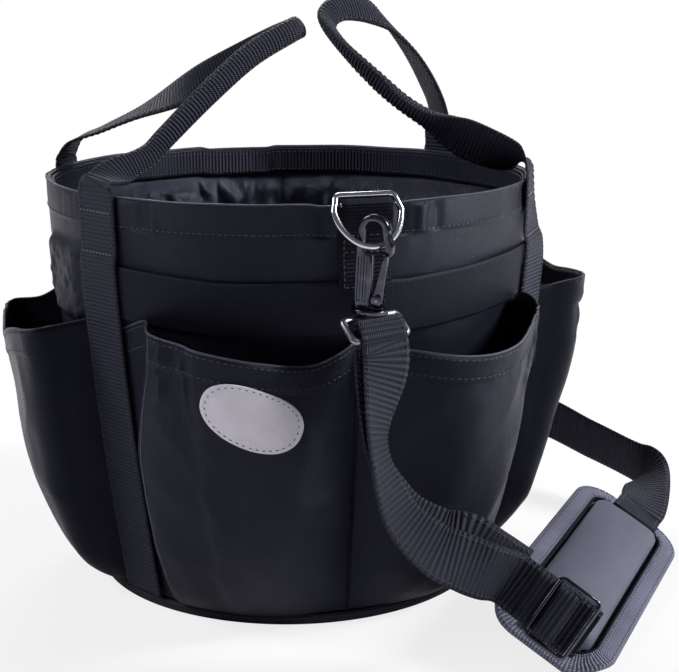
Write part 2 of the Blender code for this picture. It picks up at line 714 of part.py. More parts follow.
def arc(centre, radius, start, end, steps):
    return [(centre[0] + radius * math.cos(math.radians(start + (end - start) * k / steps)),
             centre[1] + radius * math.sin(math.radians(start + (end - start) * k / steps)))
            for k in range(steps + 1)]


def hook_outline():
    """The hook's flat outline: base, ribbed shank, arch, and the nose that holds the gate's tip."""
    crown = (0.0, ARCH_CENTRE_W)
    points = [(-0.0084, -0.0012), (0.0080, -0.0012), (0.0080, 0.0016), (SHANK_INNER + 0.0008, 0.0016)]
    points += [(SHANK_INNER, 0.0024), (SHANK_INNER, SHANK_TOP - 0.0014), (SHANK_INNER - 0.0016, SHANK_TOP)]
    points += [(-0.0036, SHANK_TOP + 0.0008), (-ARCH_INNER, SHANK_TOP + 0.0034)]
    points += arc(crown, ARCH_INNER, 180, 0, 9)
    points += [(0.0053, 0.0395), (0.0063, 0.0370), (0.0068, 0.0350), (0.0068, 0.0313), (0.0093, 0.0313)]
    points += [(0.0093, 0.0300), (0.0098, 0.0292), (0.0108, 0.0292), (0.0116, 0.0304), (0.0118, 0.0345)]
    points += [(0.0110, 0.0375), (0.0097, 0.0400)]
    points += arc(crown, ARCH_OUTER, 0, 180, 12)
    points += [(-ARCH_OUTER, 0.0060)]
    return points


def gate_outline():
    """The gate: round at its pivot, wide below, with a narrow tip just inside the nose."""
    points = arc(GATE_PIVOT, 0.0030, 165, 365, 7)
    points += [(0.0082, 0.0160), (0.0090, 0.0270), (0.0090, 0.0301), (0.0086, 0.0306), (0.0066, 0.0306),
               (0.0062, 0.0300), (0.0036, 0.0160)]
    return points


def hook_frame(side):
    turn = Matrix.Rotation(HOOK_TURN, 4, "Z") @ Matrix.Rotation(HOOK_LEAN, 4, "Y")
    return side_matrix(side) @ Matrix.Translation(HOOK_SPOT) @ turn


def blocks_mesh(name, blocks):
    """Boxes of (centre, size) in one mesh."""
    bm = bmesh.new()
    for centre, size in blocks:
        spot = Matrix.Translation(centre) @ Matrix.Diagonal((*size, 1.0))
        bmesh.ops.create_cube(bm, size=1.0, matrix=spot)
    mesh = bpy.data.meshes.new(name)
    bm.to_mesh(mesh)
    bm.free()
    return mesh


def joined_mesh(name, meshes):
    bm = bmesh.new()
    for mesh in meshes:
        bm.from_mesh(mesh)
        bpy.data.meshes.remove(mesh)
    joined = bpy.data.meshes.new(name)
    bm.to_mesh(joined)
    bm.free()
    return joined


def twin(name, source, frame, material, smooth_angle):
    """The same finished shape as another object, for the other end of the strap."""
    bpy.context.view_layer.update()
    seen = source.evaluated_get(bpy.context.evaluated_depsgraph_get())
    item = place(name, bpy.data.meshes.new_from_object(seen), material, smooth_angle)
    item.matrix_world = frame
    return item


def make_hook(side):
    frame = hook_frame(side)
    name = side + "_snap_hook"
    if side == "rear":
        twin(name, bpy.data.objects["front_snap_hook"], frame, metal(name + "_metal"), 35)
        return
    hook = place(name, plate_mesh(name, hook_outline(), HOOK_THICK, 0.0008), metal(name + "_metal"), 35)
    wide, deep = HOOK_FLANGE
    flange = rod_mesh(name + "_flange", (0, 0, -deep), (0, 0, 0.0004), wide, 20)
    boolean(hook, add_cutter(name + "_flange", flange), "UNION")
    u, w = GATE_PIVOT
    out = GATE_THICK / 2 + GAP + 0.0005
    ears = [((u, y * out, w - 0.0014), (0.0062, 0.0010, 0.0086)) for y in (-1, 1)]
    boolean(hook, add_cutter(name + "_ears", blocks_mesh(name + "_ears", ears)), "UNION")
    cuts = [((x, y * HOOK_THICK / 2, 0.0150), (0.0011, 0.0011, 0.0236)) for x in (-0.0064, -0.0031)
            for y in (-1, 1)]
    cuts.append(((SHANK_INNER, 0.0, 0.0106), (0.0018, 0.0032, 0.0132)))
    bore = rod_mesh(name + "_bore", (u, -0.006, w), (u, 0.006, w), GATE_PIN + GAP, 12)
    socket = rod_mesh(name + "_socket", (0, 0, -0.0040), (0, 0, -0.0006), 0.0023, 16)
    cut_mesh = joined_mesh(name + "_cuts", (blocks_mesh(name + "_blocks", cuts), bore, socket))
    boolean(hook, add_cutter(name + "_cuts", cut_mesh), "DIFFERENCE")
    hook.matrix_world = frame
    for cutter in cutters.objects:
        if cutter.name.startswith(name):
            cutter.matrix_world = frame


def make_gate(side):
    frame = hook_frame(side)
    name = side + "_snap_gate"
    u, w = GATE_PIVOT
    pivot = bpy.data.objects.new(name + "_pivot", None)
    parts.objects.link(pivot)
    pivot.matrix_world = frame @ Matrix.Translation((u, 0, w))
    gate = place(name, plate_mesh(name, gate_outline(), GATE_THICK, 0.0005), metal(name + "_metal"), 35)
    bore = rod_mesh(name + "_bore", (u, -0.006, w), (u, 0.006, w), GATE_PIN + GAP, 12)
    cutter = add_cutter(name + "_bore", bore)
    boolean(gate, cutter, "DIFFERENCE")
    cutter.matrix_world = frame
    gate.matrix_world = frame
    gate.parent = pivot
    gate.matrix_parent_inverse = pivot.matrix_world.inverted()
    half = GATE_THICK / 2 + GAP + 0.0010
    pin_mesh = rod_mesh(side + "_gate_pin", (u, -half, w), (u, half, w), GATE_PIN, 12)
    pin = place(side + "_gate_pin", pin_mesh, metal(side + "_pin_metal"), 40)
    pin.matrix_world = frame
    leaf = [(0.0000, 0.0046), (0.0000, 0.0100), (0.0002, 0.0135), (0.0005, 0.0166)]
    rows = [[(x, -0.0012, z), (x, 0.0012, z)] for x, z in leaf]
    steel = finish_material(side + "_spring_steel", (0.35, 0.35, 0.36), 0.25, 1.0)
    spring = strip(side + "_gate_spring", rows, steel, 0.0002, offset=0.0)
    spring.matrix_world = frame


def eye_points():
    """The swivel eye's wire, a rounded rectangle that hangs from its top bar and leans outward."""
    corner = 0.0022
    points = []
    for cx, cz, start in ((1, 0, 90), (1, 1, 0), (-1, 1, -90), (-1, 0, -180)):
        for k in range(4):
            turn = math.radians(start - 30 * k)
            x = cx * (EYE_HALF_WIDTH - EYE_WIRE - corner) + corner * math.cos(turn)
            z = (-corner if cz == 0 else -(EYE_DROP - corner)) + corner * math.sin(turn)
            points.append(Vector((x, 0, z)))
    lean = Matrix.Rotation(-EYE_LEAN, 4, "X")
    return [lean @ p for p in points]


def eye_frame(side):
    """The eye hangs under the hook's flange on its stem, and is turned on its own."""
    below = HOOK_FLANGE[1] + 0.0012 + EYE_WIRE
    level = Matrix.Rotation(-HOOK_LEAN, 4, "Y") @ Matrix.Rotation(EYE_TURN - HOOK_TURN, 4, "Z")
    return hook_frame(side) @ Matrix.Translation((0, 0, -below)) @ level


def make_eye(side):
    name = side + "_swivel_eye"
    eye = place(name, curve_mesh(name, eye_points(), EYE_WIRE), metal(name + "_metal"), 40)
    stem = rod_mesh(name + "_stem", (0, 0, -0.0002), (0, 0, 0.0043), 0.0020, 14)
    cutter = add_cutter(name + "_stem", stem)
    boolean(eye, cutter, "UNION")
    eye.matrix_world = eye_frame(side)
    cutter.matrix_world = eye_frame(side)


def eye_bar(side):
    """The centre of the eye's lower bar, and the direction along the bar."""
    frame = eye_frame(side)
    centre = frame @ Matrix.Rotation(-EYE_LEAN, 4, "X") @ Vector((0, 0, -EYE_DROP))
    return centre, (frame.to_3x3() @ Vector((1, 0, 0)))


# Shoulder strap. The webbing turns round each eye's lower bar, and both its tails hang down.

def tails(side):
    centre, along = eye_bar(side)
    outward = Vector((along.y, -along.x, 0.0)).normalized()
    front = centre + outward * 0.0040 - Vector((0, 0, TAIL))
    back = centre - outward * 0.0036 - Vector((0, 0, TAIL))
    return front, back, along


def make_turn(side):
    centre, along = eye_bar(side)
    outward = Vector((along.y, -along.x, 0.0)).normalized()
    radius = EYE_WIRE + 2 * GAP + WEB_THICK / 2
    front, back, along = tails(side)
    stops = [flat(front, along, TURN_HALF)]
    for k in range(9):
        turn = math.radians(-30 + 30 * k)
        spot = centre + outward * radius * math.cos(turn) + Vector((0, 0, radius * math.sin(turn)))
        stops.append(flat(spot, along, TURN_HALF))
    stops.append(flat(back, along, TURN_HALF))
    web_loft(side + "_strap_turn", stops, webbing(side + "_turn_web"), joined=False,
             first_run=(0, 0, 1), last_run=(0, 0, -1))


FALL = (
    # outer layer's centre, its width direction, then the inner layer's shift along the width and back
    ((-0.0028, -0.1925, 0.1338), (0.55, 0.83, 0.00), 0.0080, 0.0050),
    ((0.0058, -0.2012, 0.0971), (0.65, 0.70, 0.25), 0.0110, 0.0050),
    ((0.0233, -0.2090, 0.0763), (0.70, 0.52, 0.49), 0.0120, 0.0045),
    ((0.0401, -0.2120, 0.0670), (0.68, 0.30, 0.66), 0.0120, 0.0050),
    ((0.0543, -0.2125, 0.0600), (0.63, 0.12, 0.77), 0.0080, 0.0056),
)


def make_front_strap():
    """Two layers fall from the front eye. The outer one runs on under the slider."""
    front, back, along = tails("front")
    drop = Vector((0, 0, -GAP))
    across = SLIDER_ACROSS - SLIDER_RUN * SLIDER_ACROSS.dot(SLIDER_RUN)
    outer = [flat(front + drop, along)]
    inner = [flat(back + drop, along)]
    spots = [front] + [Vector(stop[0]) for stop in FALL] + [SLIDER_CENTRE - SLIDER_RUN * 0.036]
    for k, (centre, side, shift, behind) in enumerate(FALL):
        run = (spots[k + 2] - spots[k]).normalized()
        side = Vector(side)
        side = (side - run * side.dot(run)).normalized()
        outer.append(flat(centre, side))
        inner.append(flat(Vector(centre) + side * shift - run.cross(side) * behind, side))
    for reach in (-0.036, -0.012, 0.012, 0.027):
        outer.append(flat(SLIDER_CENTRE + SLIDER_RUN * reach, across))
    up = SLIDER_RUN.cross(across).normalized()
    inner.append(flat(SLIDER_CENTRE - SLIDER_RUN * 0.034 - up * 0.0066 + across * 0.004, across))
    web_loft("front_strap_outer", outer, webbing("front_outer_web"), steps=3,
             first_run=(0, 0, -1), last_run=SLIDER_RUN)
    web_loft("front_strap_inner", inner, webbing("front_inner_web"), steps=3, first_run=(0, 0, -1))


def make_rear_strap():
    """From the pad's rear end, round the bag's right side and up to the rear eye."""
    front, back, along = tails("rear")
    frame = pad_frame()
    side = frame.to_3x3() @ Vector((0, -1, 0))
    lie = PAD_EDGE + GAP + WEB_THICK / 2
    half = PAD_LENGTH / 2
    stops = [flat(frame @ Vector((half - 0.0120, -0.003, lie)), side),
             flat(frame @ Vector((half + 0.0020, -0.003, lie)), side),
             flat(frame @ Vector((half + 0.0220, -0.003, lie + 0.002)), side),
             flat((0.2450, -0.0400, 0.0370), side + Vector((-0.25, 0.2, -0.3))),
             flat((0.2500, -0.0080, 0.0480), (0.20, 0.05, -0.97)),
             flat((0.2370, 0.0350, 0.0520), (0.10, 0.08, -0.99)),
             flat((0.2100, 0.0850, 0.0480), (0.0, 0.05, -1.0)),
             flat((0.1700, 0.1350, 0.0420), (-0.05, 0.05, -1.0)),
             flat((0.1200, 0.1750, 0.0470), (-0.20, 0.10, -0.97)),
             flat((0.0750, 0.1930, 0.0700), (-0.55, 0.15, -0.82)),
             flat((0.0380, 0.1990, 0.1000), (-0.80, 0.05, -0.55)),
             flat((0.0100, 0.1955, 0.1320), (-0.93, -0.20, -0.20)),
             flat(front + Vector((0, 0, -GAP)), along)]
    web_loft("rear_strap", stops, webbing("rear_strap_web"), steps=3, last_run=(0, 0, 1))


# Slider and pad

def slider_frame():
    across = (SLIDER_ACROSS - SLIDER_RUN * SLIDER_ACROSS.dot(SLIDER_RUN)).normalized()
    turn = Matrix((SLIDER_RUN, across, SLIDER_RUN.cross(across))).transposed().to_4x4()
    return Matrix.Translation(SLIDER_CENTRE) @ turn


def make_slider():
    """The slider's frame, and the strap's sewn end that wraps round its centre bar."""
    frame = slider_frame()
    long, wide = SLIDER_HALF
    corner = 0.0030
    points = []
    for sx, sy, start in ((1, 1, 0), (-1, 1, 90), (-1, -1, 180), (1, -1, 270)):
        middle = (sx * (long - corner), sy * (wide - corner))
        points += [(x, y, SLIDER_HEIGHT) for x, y in arc(middle, corner, start, start + 90, 3)]
        if sy == (1 if sx == 1 else -1):
            rise = SLIDER_HEIGHT + 0.0012
            reach = sx * 0.0042
            points += [(reach, sy * wide, rise), (-reach, sy * wide, rise)]
    slider = place("slider_frame", curve_mesh("slider_frame", points, SLIDER_WIRE), metal("slider_metal"), 40)
    bar = rod_mesh("slider_bar", (0, -wide, SLIDER_HEIGHT), (0, wide, SLIDER_HEIGHT), SLIDER_BAR, 10)
    cutter = add_cutter("slider_bar", bar)
    boolean(slider, cutter, "UNION")
    radius = SLIDER_BAR + GAP + WEB_THICK / 2
    path = [(-0.0220, SLIDER_HEIGHT - radius), (-0.0060, SLIDER_HEIGHT - radius)]
    path += [(x, z + SLIDER_HEIGHT) for x, z in arc((0.0, 0.0), radius, -90, 90, 6)]
    path += [(-0.0090, SLIDER_HEIGHT + radius)]
    stops = [flat(Vector((x, 0, z)), Vector((0, 1, 0)), 0.0152) for x, z in path]
    loop = web_loft("slider_strap_end", stops, webbing("slider_web"), joined=False)
    slider.matrix_world = frame
    cutter.matrix_world = frame
    loop.matrix_world = frame


def pad_frame():
    across = (PAD_ACROSS - PAD_ALONG * PAD_ACROSS.dot(PAD_ALONG)).normalized()
    turn = Matrix((PAD_ALONG, across, PAD_ALONG.cross(across))).transposed().to_4x4()
    return Matrix.Translation(PAD_CENTRE) @ turn


def pad_outline(inset, steps=5):
    half_long, half_wide = PAD_LENGTH / 2 - inset, PAD_WIDTH / 2 - inset
    corner = max(PAD_CORNER - inset, 0.0035)
    points = []
    for sx, sy, start in ((1, 1, 0), (-1, 1, 90), (-1, -1, 180), (1, -1, 270)):
        middle = (sx * (half_long - corner), sy * (half_wide - corner))
        points += arc(middle, corner, start, start + 90, steps)
    return points


def ringed(name, rings, material, smooth_angle=60):
    """A closed solid through rings of equal point counts, with its first and last ring filled."""
    wide = len(rings[0])
    points = [p for ring in rings for p in ring]
    faces = [tuple(reversed(range(wide)))]
    for r in range(len(rings) - 1):
        for c in range(wide):
            a, b = r * wide + c, r * wide + (c + 1) % wide
            faces.append((a, b, b + wide, a + wide))
    last = (len(rings) - 1) * wide
    faces.append(tuple(range(last, last + wide)))
    return place(name, mesh_from(name, points, faces), material, smooth_angle)


def make_pad():
    frame = pad_frame()
    inner = PAD_TAPE + GAP
    outer_line = pad_outline(0.0)
    inner_line = pad_outline(PAD_TAPE)
    count = len(outer_line)
    rings = ((outer_line, PAD_EDGE), (inner_line, PAD_EDGE), (inner_line, -PAD_EDGE), (outer_line, -PAD_EDGE))
    points = [(x, y, z) for line, z in rings for x, y in line]
    faces = []
    for r in range(4):
        for c in range(count):
            a, b = r * count + c, r * count + (c + 1) % count
            e, f = ((r + 1) % 4) * count + c, ((r + 1) % 4) * count + (c + 1) % count
            faces.append((a, b, f, e))
    tape = place("pad_binding", mesh_from("pad_binding", points, faces), webbing("pad_tape"), 40)
    bevel(tape, 0.0007)
    backing = [[(x, y, z) for x, y in pad_outline(inner)] for z in (-PAD_EDGE, -0.0006)]
    back = ringed("pad_backing", backing, cloth("pad_back_cloth"), 40)
    crown = []
    for inset, z in PAD_CROWN:
        crown.append([(x, y, z) for x, y in pad_outline(inner + inset)])
    cushion = ringed("pad_cushion", crown, finish_material("pad_cloth", (0.075, 0.08, 0.105), 0.7))
    flap_side = frame.to_3x3() @ Vector((0, 1, 0))
    lie = PAD_EDGE + GAP + WEB_THICK / 2
    half = PAD_LENGTH / 2
    stops = [flat(frame @ Vector((-half + 0.0150, 0.0, -lie)), flap_side),
             flat(frame @ Vector((-half + 0.0050, 0.0, -lie)), flap_side),
             flat(frame @ Vector((-half - 0.0010, 0.0, -lie - 0.0006)), flap_side)]
    web_loft("pad_front_web", stops, webbing("pad_front_webbing"), steps=2)
    for item in (tape, back, cushion):
        item.matrix_world = frame


def build():
    start_scene()
    make_wall()
    make_base()
    make_bands()
    make_wall_straps()
    make_handle("handle_left", -1.0, LEFT_HANDLE)
    make_handle("handle_right", 1.0, RIGHT_HANDLE)
    make_pockets()
    make_patch()
    for side in ("front", "rear"):
        make_ring(side)
        make_tab(side)
        make_hook(side)
        make_gate(side)
        make_eye(side)
        make_turn(side)
    make_front_strap()
    make_rear_strap()
    make_slider()
    make_pad()


build()
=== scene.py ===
import math

import bmesh
import bpy
import numpy as np
from mathutils import Matrix, Vector, noise


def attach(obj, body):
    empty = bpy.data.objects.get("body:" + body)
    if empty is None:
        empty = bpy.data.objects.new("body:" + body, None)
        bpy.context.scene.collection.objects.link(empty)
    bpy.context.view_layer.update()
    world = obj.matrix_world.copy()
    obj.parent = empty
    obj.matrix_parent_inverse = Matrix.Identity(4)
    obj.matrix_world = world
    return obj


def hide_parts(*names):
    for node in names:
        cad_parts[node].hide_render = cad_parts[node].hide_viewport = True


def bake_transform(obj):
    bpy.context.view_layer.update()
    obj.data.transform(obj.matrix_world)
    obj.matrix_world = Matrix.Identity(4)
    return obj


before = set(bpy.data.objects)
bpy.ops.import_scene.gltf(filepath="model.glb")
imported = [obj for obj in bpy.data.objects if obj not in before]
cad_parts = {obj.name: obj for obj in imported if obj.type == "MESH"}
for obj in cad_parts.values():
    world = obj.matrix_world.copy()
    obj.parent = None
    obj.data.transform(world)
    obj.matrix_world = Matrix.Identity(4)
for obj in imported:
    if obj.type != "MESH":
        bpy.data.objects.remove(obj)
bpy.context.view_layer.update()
print("frame loaded:", len(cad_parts), "nodes")

# the bag's own sizes, in metres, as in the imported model
bagSize = {
    "rimRadius": 0.152, "baseRadius": 0.1235, "height": 0.255, "taperPower": 1.6,
    "cloth": 0.0016, "hemCloth": 0.0022, "hemHeight": 0.0185, "bandLow": 0.1835, "bandHigh": 0.2135,
    "strapStandoff": 0.0023,
}
gap = 0.0003
webThick = 0.0018
webHalf = 0.016
turnCircle = 2 * math.pi


# camera at the photograph's view

cameraView = {
    "place": (-0.2272, -0.8708, 0.3655), "forward": (0.2786, 0.9307, -0.2369),
    "focalPixels": 1407.4, "pictureWidth": 679, "sensor": 36.0,
}


def makeCamera():
    data = bpy.data.cameras.new("camera")
    data.sensor_width = cameraView["sensor"]
    data.lens = cameraView["sensor"] * cameraView["focalPixels"] / cameraView["pictureWidth"]
    data.clip_end = 50
    camera = bpy.data.objects.new("camera", data)
    bpy.context.scene.collection.objects.link(camera)
    camera.location = cameraView["place"]
    camera.rotation_euler = Vector(cameraView["forward"]).to_track_quat("-Z", "Y").to_euler()
    bpy.context.scene.camera = camera


# shader maths: a Socket takes part in expressions, and a Paint makes the nodes

class Socket:
    def __init__(self, paint, node, index=0):
        self.paint = paint
        self.node = node
        self.link = node.outputs[index]

    def out(self, index):
        return Socket(self.paint, self.node, index)

    def maths(self, operation, *others):
        return self.paint.add("ShaderNodeMath", {"operation": operation}, [self, *others])

    def __add__(self, other):
        return self.maths("ADD", other)

    def __mul__(self, other):
        return self.maths("MULTIPLY", other)

    def __sub__(self, other):
        return self.maths("SUBTRACT", other)

    def __rsub__(self, other):
        return self.paint.add("ShaderNodeMath", {"operation": "SUBTRACT"}, [other, self])

    __radd__ = __add__
    __rmul__ = __mul__


socketNames = {
    "colour": "Base Color", "rough": "Roughness", "metal": "Metallic", "normal": "Normal",
    "specular": "Specular IOR Level", "shineTint": "Specular Tint", "sheen": "Sheen Weight",
    "sheenRough": "Sheen Roughness", "sheenTint": "Sheen Tint",
}
blueSheen = (0.5, 0.55, 1.0)


class Paint:
    def __init__(self, name):
        self.material = bpy.data.materials.new(name)
        self.material.use_nodes = True
        self.tree = self.material.node_tree
        self.shader = self.tree.nodes["Principled BSDF"]

    def add(self, kind, settings=None, inputs=()):
        node = self.tree.nodes.new(kind)
        for key, value in (settings or {}).items():
            if key == "ramp":
                while len(node.color_ramp.elements) < len(value):
                    node.color_ramp.elements.new(0.5)
                for stop, (where, grey) in zip(node.color_ramp.elements, value):
                    stop.position = where
                    stop.color = (grey, grey, grey, 1)
            else:
                setattr(node, key, value)
        pairs = inputs.items() if isinstance(inputs, dict) else enumerate(inputs)
        for key, value in pairs:
            self.feed(node.inputs[key], value)
        return Socket(self, node)

    def feed(self, target, value):
        if isinstance(value, Socket):
            self.tree.links.new(value.link, target)
        elif isinstance(value, tuple) and len(value) == 3 and target.type == "RGBA":
            target.default_value = (*value, 1)
        else:
            target.default_value = value

    def blendColours(self, factor, first, second):
        mix = self.add("ShaderNodeMix", {"data_type": "RGBA"}, {0: factor, 6: first, 7: second})
        return mix.out(2)

    def grain(self, scale, detail=2.0, rough=0.5, stretch=None):
        place = self.add("ShaderNodeTexCoord").out(3)
        if stretch:
            place = self.add("ShaderNodeMapping", None, {"Vector": place, "Scale": stretch})
        return self.add("ShaderNodeTexNoise", None,
                        {"Vector": place, "Scale": scale, "Detail": detail, "Roughness": rough})

    def flat(self):
        sheet = self.add("ShaderNodeTexCoord").out(2)
        split = self.add("ShaderNodeSeparateXYZ", None, [sheet])
        return split.out(0), split.out(1)

    def bumped(self, strength, distance, height):
        return self.add("ShaderNodeBump", None,
                        {"Strength": strength, "Distance": distance, "Height": height})

    def finish(self, **sockets):
        for key, value in sockets.items():
            self.feed(self.shader.inputs[socketNames[key]], value)
        return self.material


def waves(axis, pitch):
    return (axis * (turnCircle / pitch)).maths("SINE")


def clothPaint(name, dark, light, pitch, depth, rough, specular=0.35, crinkle=0.0):
    paint = Paint(name)
    across, along = paint.flat()
    weave = waves(across, pitch) * waves(along, pitch)
    broad = paint.grain(14.0, 5.0, 0.6)
    fibre = paint.grain(1400.0, 2.0, 0.6)
    height = weave * 0.5 + fibre * 0.8
    if crinkle:
        height = height + paint.grain(120.0, 4.0, 0.55) * crinkle
    shade = paint.add("ShaderNodeValToRGB", {"ramp": ((0.34, 0.0), (0.66, 1.0))}, [broad])
    worn = shade * 0.7 + fibre * 0.3 + weave * 0.12
    colour = paint.blendColours(worn, dark, light)
    gloss = rough[0] + (rough[1] - rough[0]) * broad
    return paint.finish(colour=colour, rough=gloss, normal=paint.bumped(depth, 0.0005, height),
                        specular=specular, sheen=0.03, sheenRough=0.4, sheenTint=blueSheen,
                        shineTint=(0.72, 0.74, 1.0))


def webPaint(name, dark, light, pitch=0.0022, depth=0.6, turned=False, shine=0.4):
    paint = Paint(name)
    across, along = paint.flat()
    if turned:
        across, along = along, across
    ribs = waves(along + pitch * 0.25, pitch)
    yarn = waves(across + along * 0.55, 0.0013)
    fibre = paint.grain(1600.0, 2.0, 0.6)
    broad = paint.grain(22.0, 4.0, 0.6)
    height = ribs * 0.55 + yarn * 0.35 + fibre * 0.5
    # the ribs and yarn also lighten the colour on their crowns and darken it in their grooves: partly the
    # webbing's own tone, partly painted shade in the grooves and painted highlight on the crowns
    shade = ribs * 0.22 + yarn * 0.16 + fibre * 0.3 + broad * 0.45
    colour = paint.blendColours(shade, dark, light)
    return paint.finish(colour=colour, rough=0.5 + 0.2 * broad, normal=paint.bumped(depth, 0.0005, height),
                        specular=shine, sheen=0.03, sheenRough=0.4, sheenTint=blueSheen,
                        shineTint=(0.75, 0.77, 1.0))


def metalPaint(name, colour, rough, scratch=0.15):
    paint = Paint(name)
    smear = paint.grain(60.0, 4.0, 0.6)
    fine = paint.grain(900.0, 2.0, 0.5)
    worn = paint.grain(160.0, 3.0, 0.7)
    mask = paint.add("ShaderNodeValToRGB", {"ramp": ((0.5, 0.0), (0.72, 1.0))}, [worn])
    brighter = tuple(min(c * 1.6 + 0.05, 1.0) for c in colour)
    normal = paint.bumped(scratch, 0.0002, fine + smear)
    return paint.finish(colour=paint.blendColours(mask * 0.6, colour, brighter), metal=1.0,
                        rough=rough[0] + (rough[1] - rough[0]) * smear, normal=normal)


def patchPaint(name, ground, shadow):
    paint = Paint(name)
    across, along = paint.flat()
    weave = waves(across, 0.0009) * waves(along, 0.0009)
    twill = waves(across + along, 0.0016)
    cloud = paint.grain(70.0, 4.0, 0.6)
    height = weave * 0.6 + twill * 0.3
    colour = paint.blendColours(weave * 0.12 + twill * 0.1 + cloud * 0.6, shadow, ground)
    return paint.finish(colour=colour, rough=0.62 + 0.15 * cloud, normal=paint.bumped(0.4, 0.0004, height),
                        sheen=0.2)


def padPaint(name, dark, light):
    paint = Paint(name)
    across, along = paint.flat()
    fibre = paint.grain(1500.0, 2.0, 0.6)
    lines = paint.grain(60.0, 5.0, 0.6, (1.0, 5.0, 1.0))
    broad = paint.grain(18.0, 4.0, 0.6)
    weave = waves(across, 0.0011) * waves(along, 0.0011)
    height = weave * 0.4 + fibre * 0.5 + lines * 1.6
    colour = paint.blendColours(broad * 0.6 + fibre * 0.25 + weave * 0.15, dark, light)
    return paint.finish(colour=colour, rough=0.48 + 0.2 * broad, normal=paint.bumped(0.35, 0.0006, height),
                        specular=0.4, sheen=0.1, sheenRough=0.4)


def threadPaint(name, dark, light):
    paint = Paint(name)
    twist = paint.grain(2500.0, 2.0, 0.5)
    return paint.finish(colour=paint.blendColours(twist, dark, light), rough=0.45 + 0.2 * twist,
                        normal=paint.bumped(0.3, 0.0002, twist), sheen=0.2)


def makePaints():
    return {
        "cloth": clothPaint("bodyCloth", (0.0020, 0.0021, 0.0058), (0.0082, 0.0084, 0.0165), 0.0011, 0.5,
                            (0.26, 0.46), 0.30, 1.4),
        "lining": clothPaint("shinyLining", (0.0070, 0.0072, 0.0160), (0.0200, 0.0205, 0.0360), 0.0011, 0.5,
                             (0.24, 0.42), 0.6, 1.6),
        "pocket": clothPaint("pocketCloth", (0.0018, 0.0019, 0.0052), (0.0066, 0.0068, 0.0138), 0.0011, 0.55,
                             (0.26, 0.46), 0.26, 1.6),
        "web": webPaint("strapWebbing", (0.0020, 0.0021, 0.0045), (0.0045, 0.0047, 0.0090), shine=0.15),
        "rimWeb": webPaint("rimWebbing", (0.0022, 0.0024, 0.0060), (0.0200, 0.0205, 0.0400), 0.0026, 0.8,
                           True),
        "strap": webPaint("shoulderWebbing", (0.0014, 0.0015, 0.0036), (0.0360, 0.0370, 0.0560), 0.0030, 0.8,
                          shine=0.32),
        "smoothWeb": webPaint("bandWebbing", (0.0020, 0.0021, 0.0056), (0.0070, 0.0072, 0.0140), 0.0011, 0.3,
                              True, 0.25),
        "grip": webPaint("gripWebbing", (0.0018, 0.0019, 0.0044), (0.0340, 0.0350, 0.0560), 0.0024, 0.8),
        "tape": webPaint("bindingTape", (0.0035, 0.0037, 0.0062), (0.0220, 0.0230, 0.0340), 0.0019, 0.55),
        "padTape": webPaint("padTape", (0.026, 0.026, 0.046), (0.360, 0.360, 0.500), 0.0019, 0.9, True),
        "metal": metalPaint("darkNickel", (0.075, 0.075, 0.10), (0.10, 0.22)),
        "castMetal": metalPaint("castNickel", (0.26, 0.26, 0.30), (0.26, 0.44), 0.3),
        "brightMetal": metalPaint("brightNickel", (0.62, 0.63, 0.68), (0.12, 0.26)),
        "patch": patchPaint("wovenPatch", (0.93, 0.88, 0.96), (0.66, 0.62, 0.72)),
        "padTop": padPaint("padNylon", (0.046, 0.047, 0.080), (0.130, 0.132, 0.195)),
        "board": clothPaint("baseBoard", (0.006, 0.006, 0.009), (0.012, 0.012, 0.017), 0.0016, 0.2,
                            (0.4, 0.55)),
        # lighter cloth for the beads on the rim, pocket mouths and pocket corners: painted highlight along
        # those folded edges
        "edge": clothPaint("foldedEdge", (0.018, 0.0185, 0.028), (0.075, 0.077, 0.102), 0.0011, 0.4,
                           (0.3, 0.45), 0.6),
        "tack": threadPaint("tackThread", (0.10, 0.10, 0.13), (0.26, 0.26, 0.32)),
        "thread": threadPaint("darkThread", (0.012, 0.0125, 0.019), (0.050, 0.052, 0.072)),
        "borderThread": threadPaint("patchThread", (0.05, 0.055, 0.09), (0.10, 0.11, 0.16)),
    }


# light and floor

stageLook = {
    "floorColour": (0.86, 0.86, 0.87), "floorGlow": 0.80, "floorHalf": 6, "floorDrop": -0.0002,
    "worldLight": (0.80, 0.82, 0.88), "worldStrength": 0.14, "lampTarget": (0, 0, 0.12),
    # each lamp's place, watts and side
    "key": ((2.3, -0.7, 1.6), 96.0, 0.7), "fill": ((-1.9, 0.2, 1.7), 26.0, 0.8),
    "back": ((0.3, 1.8, 1.6), 26.0, 1.0),
}


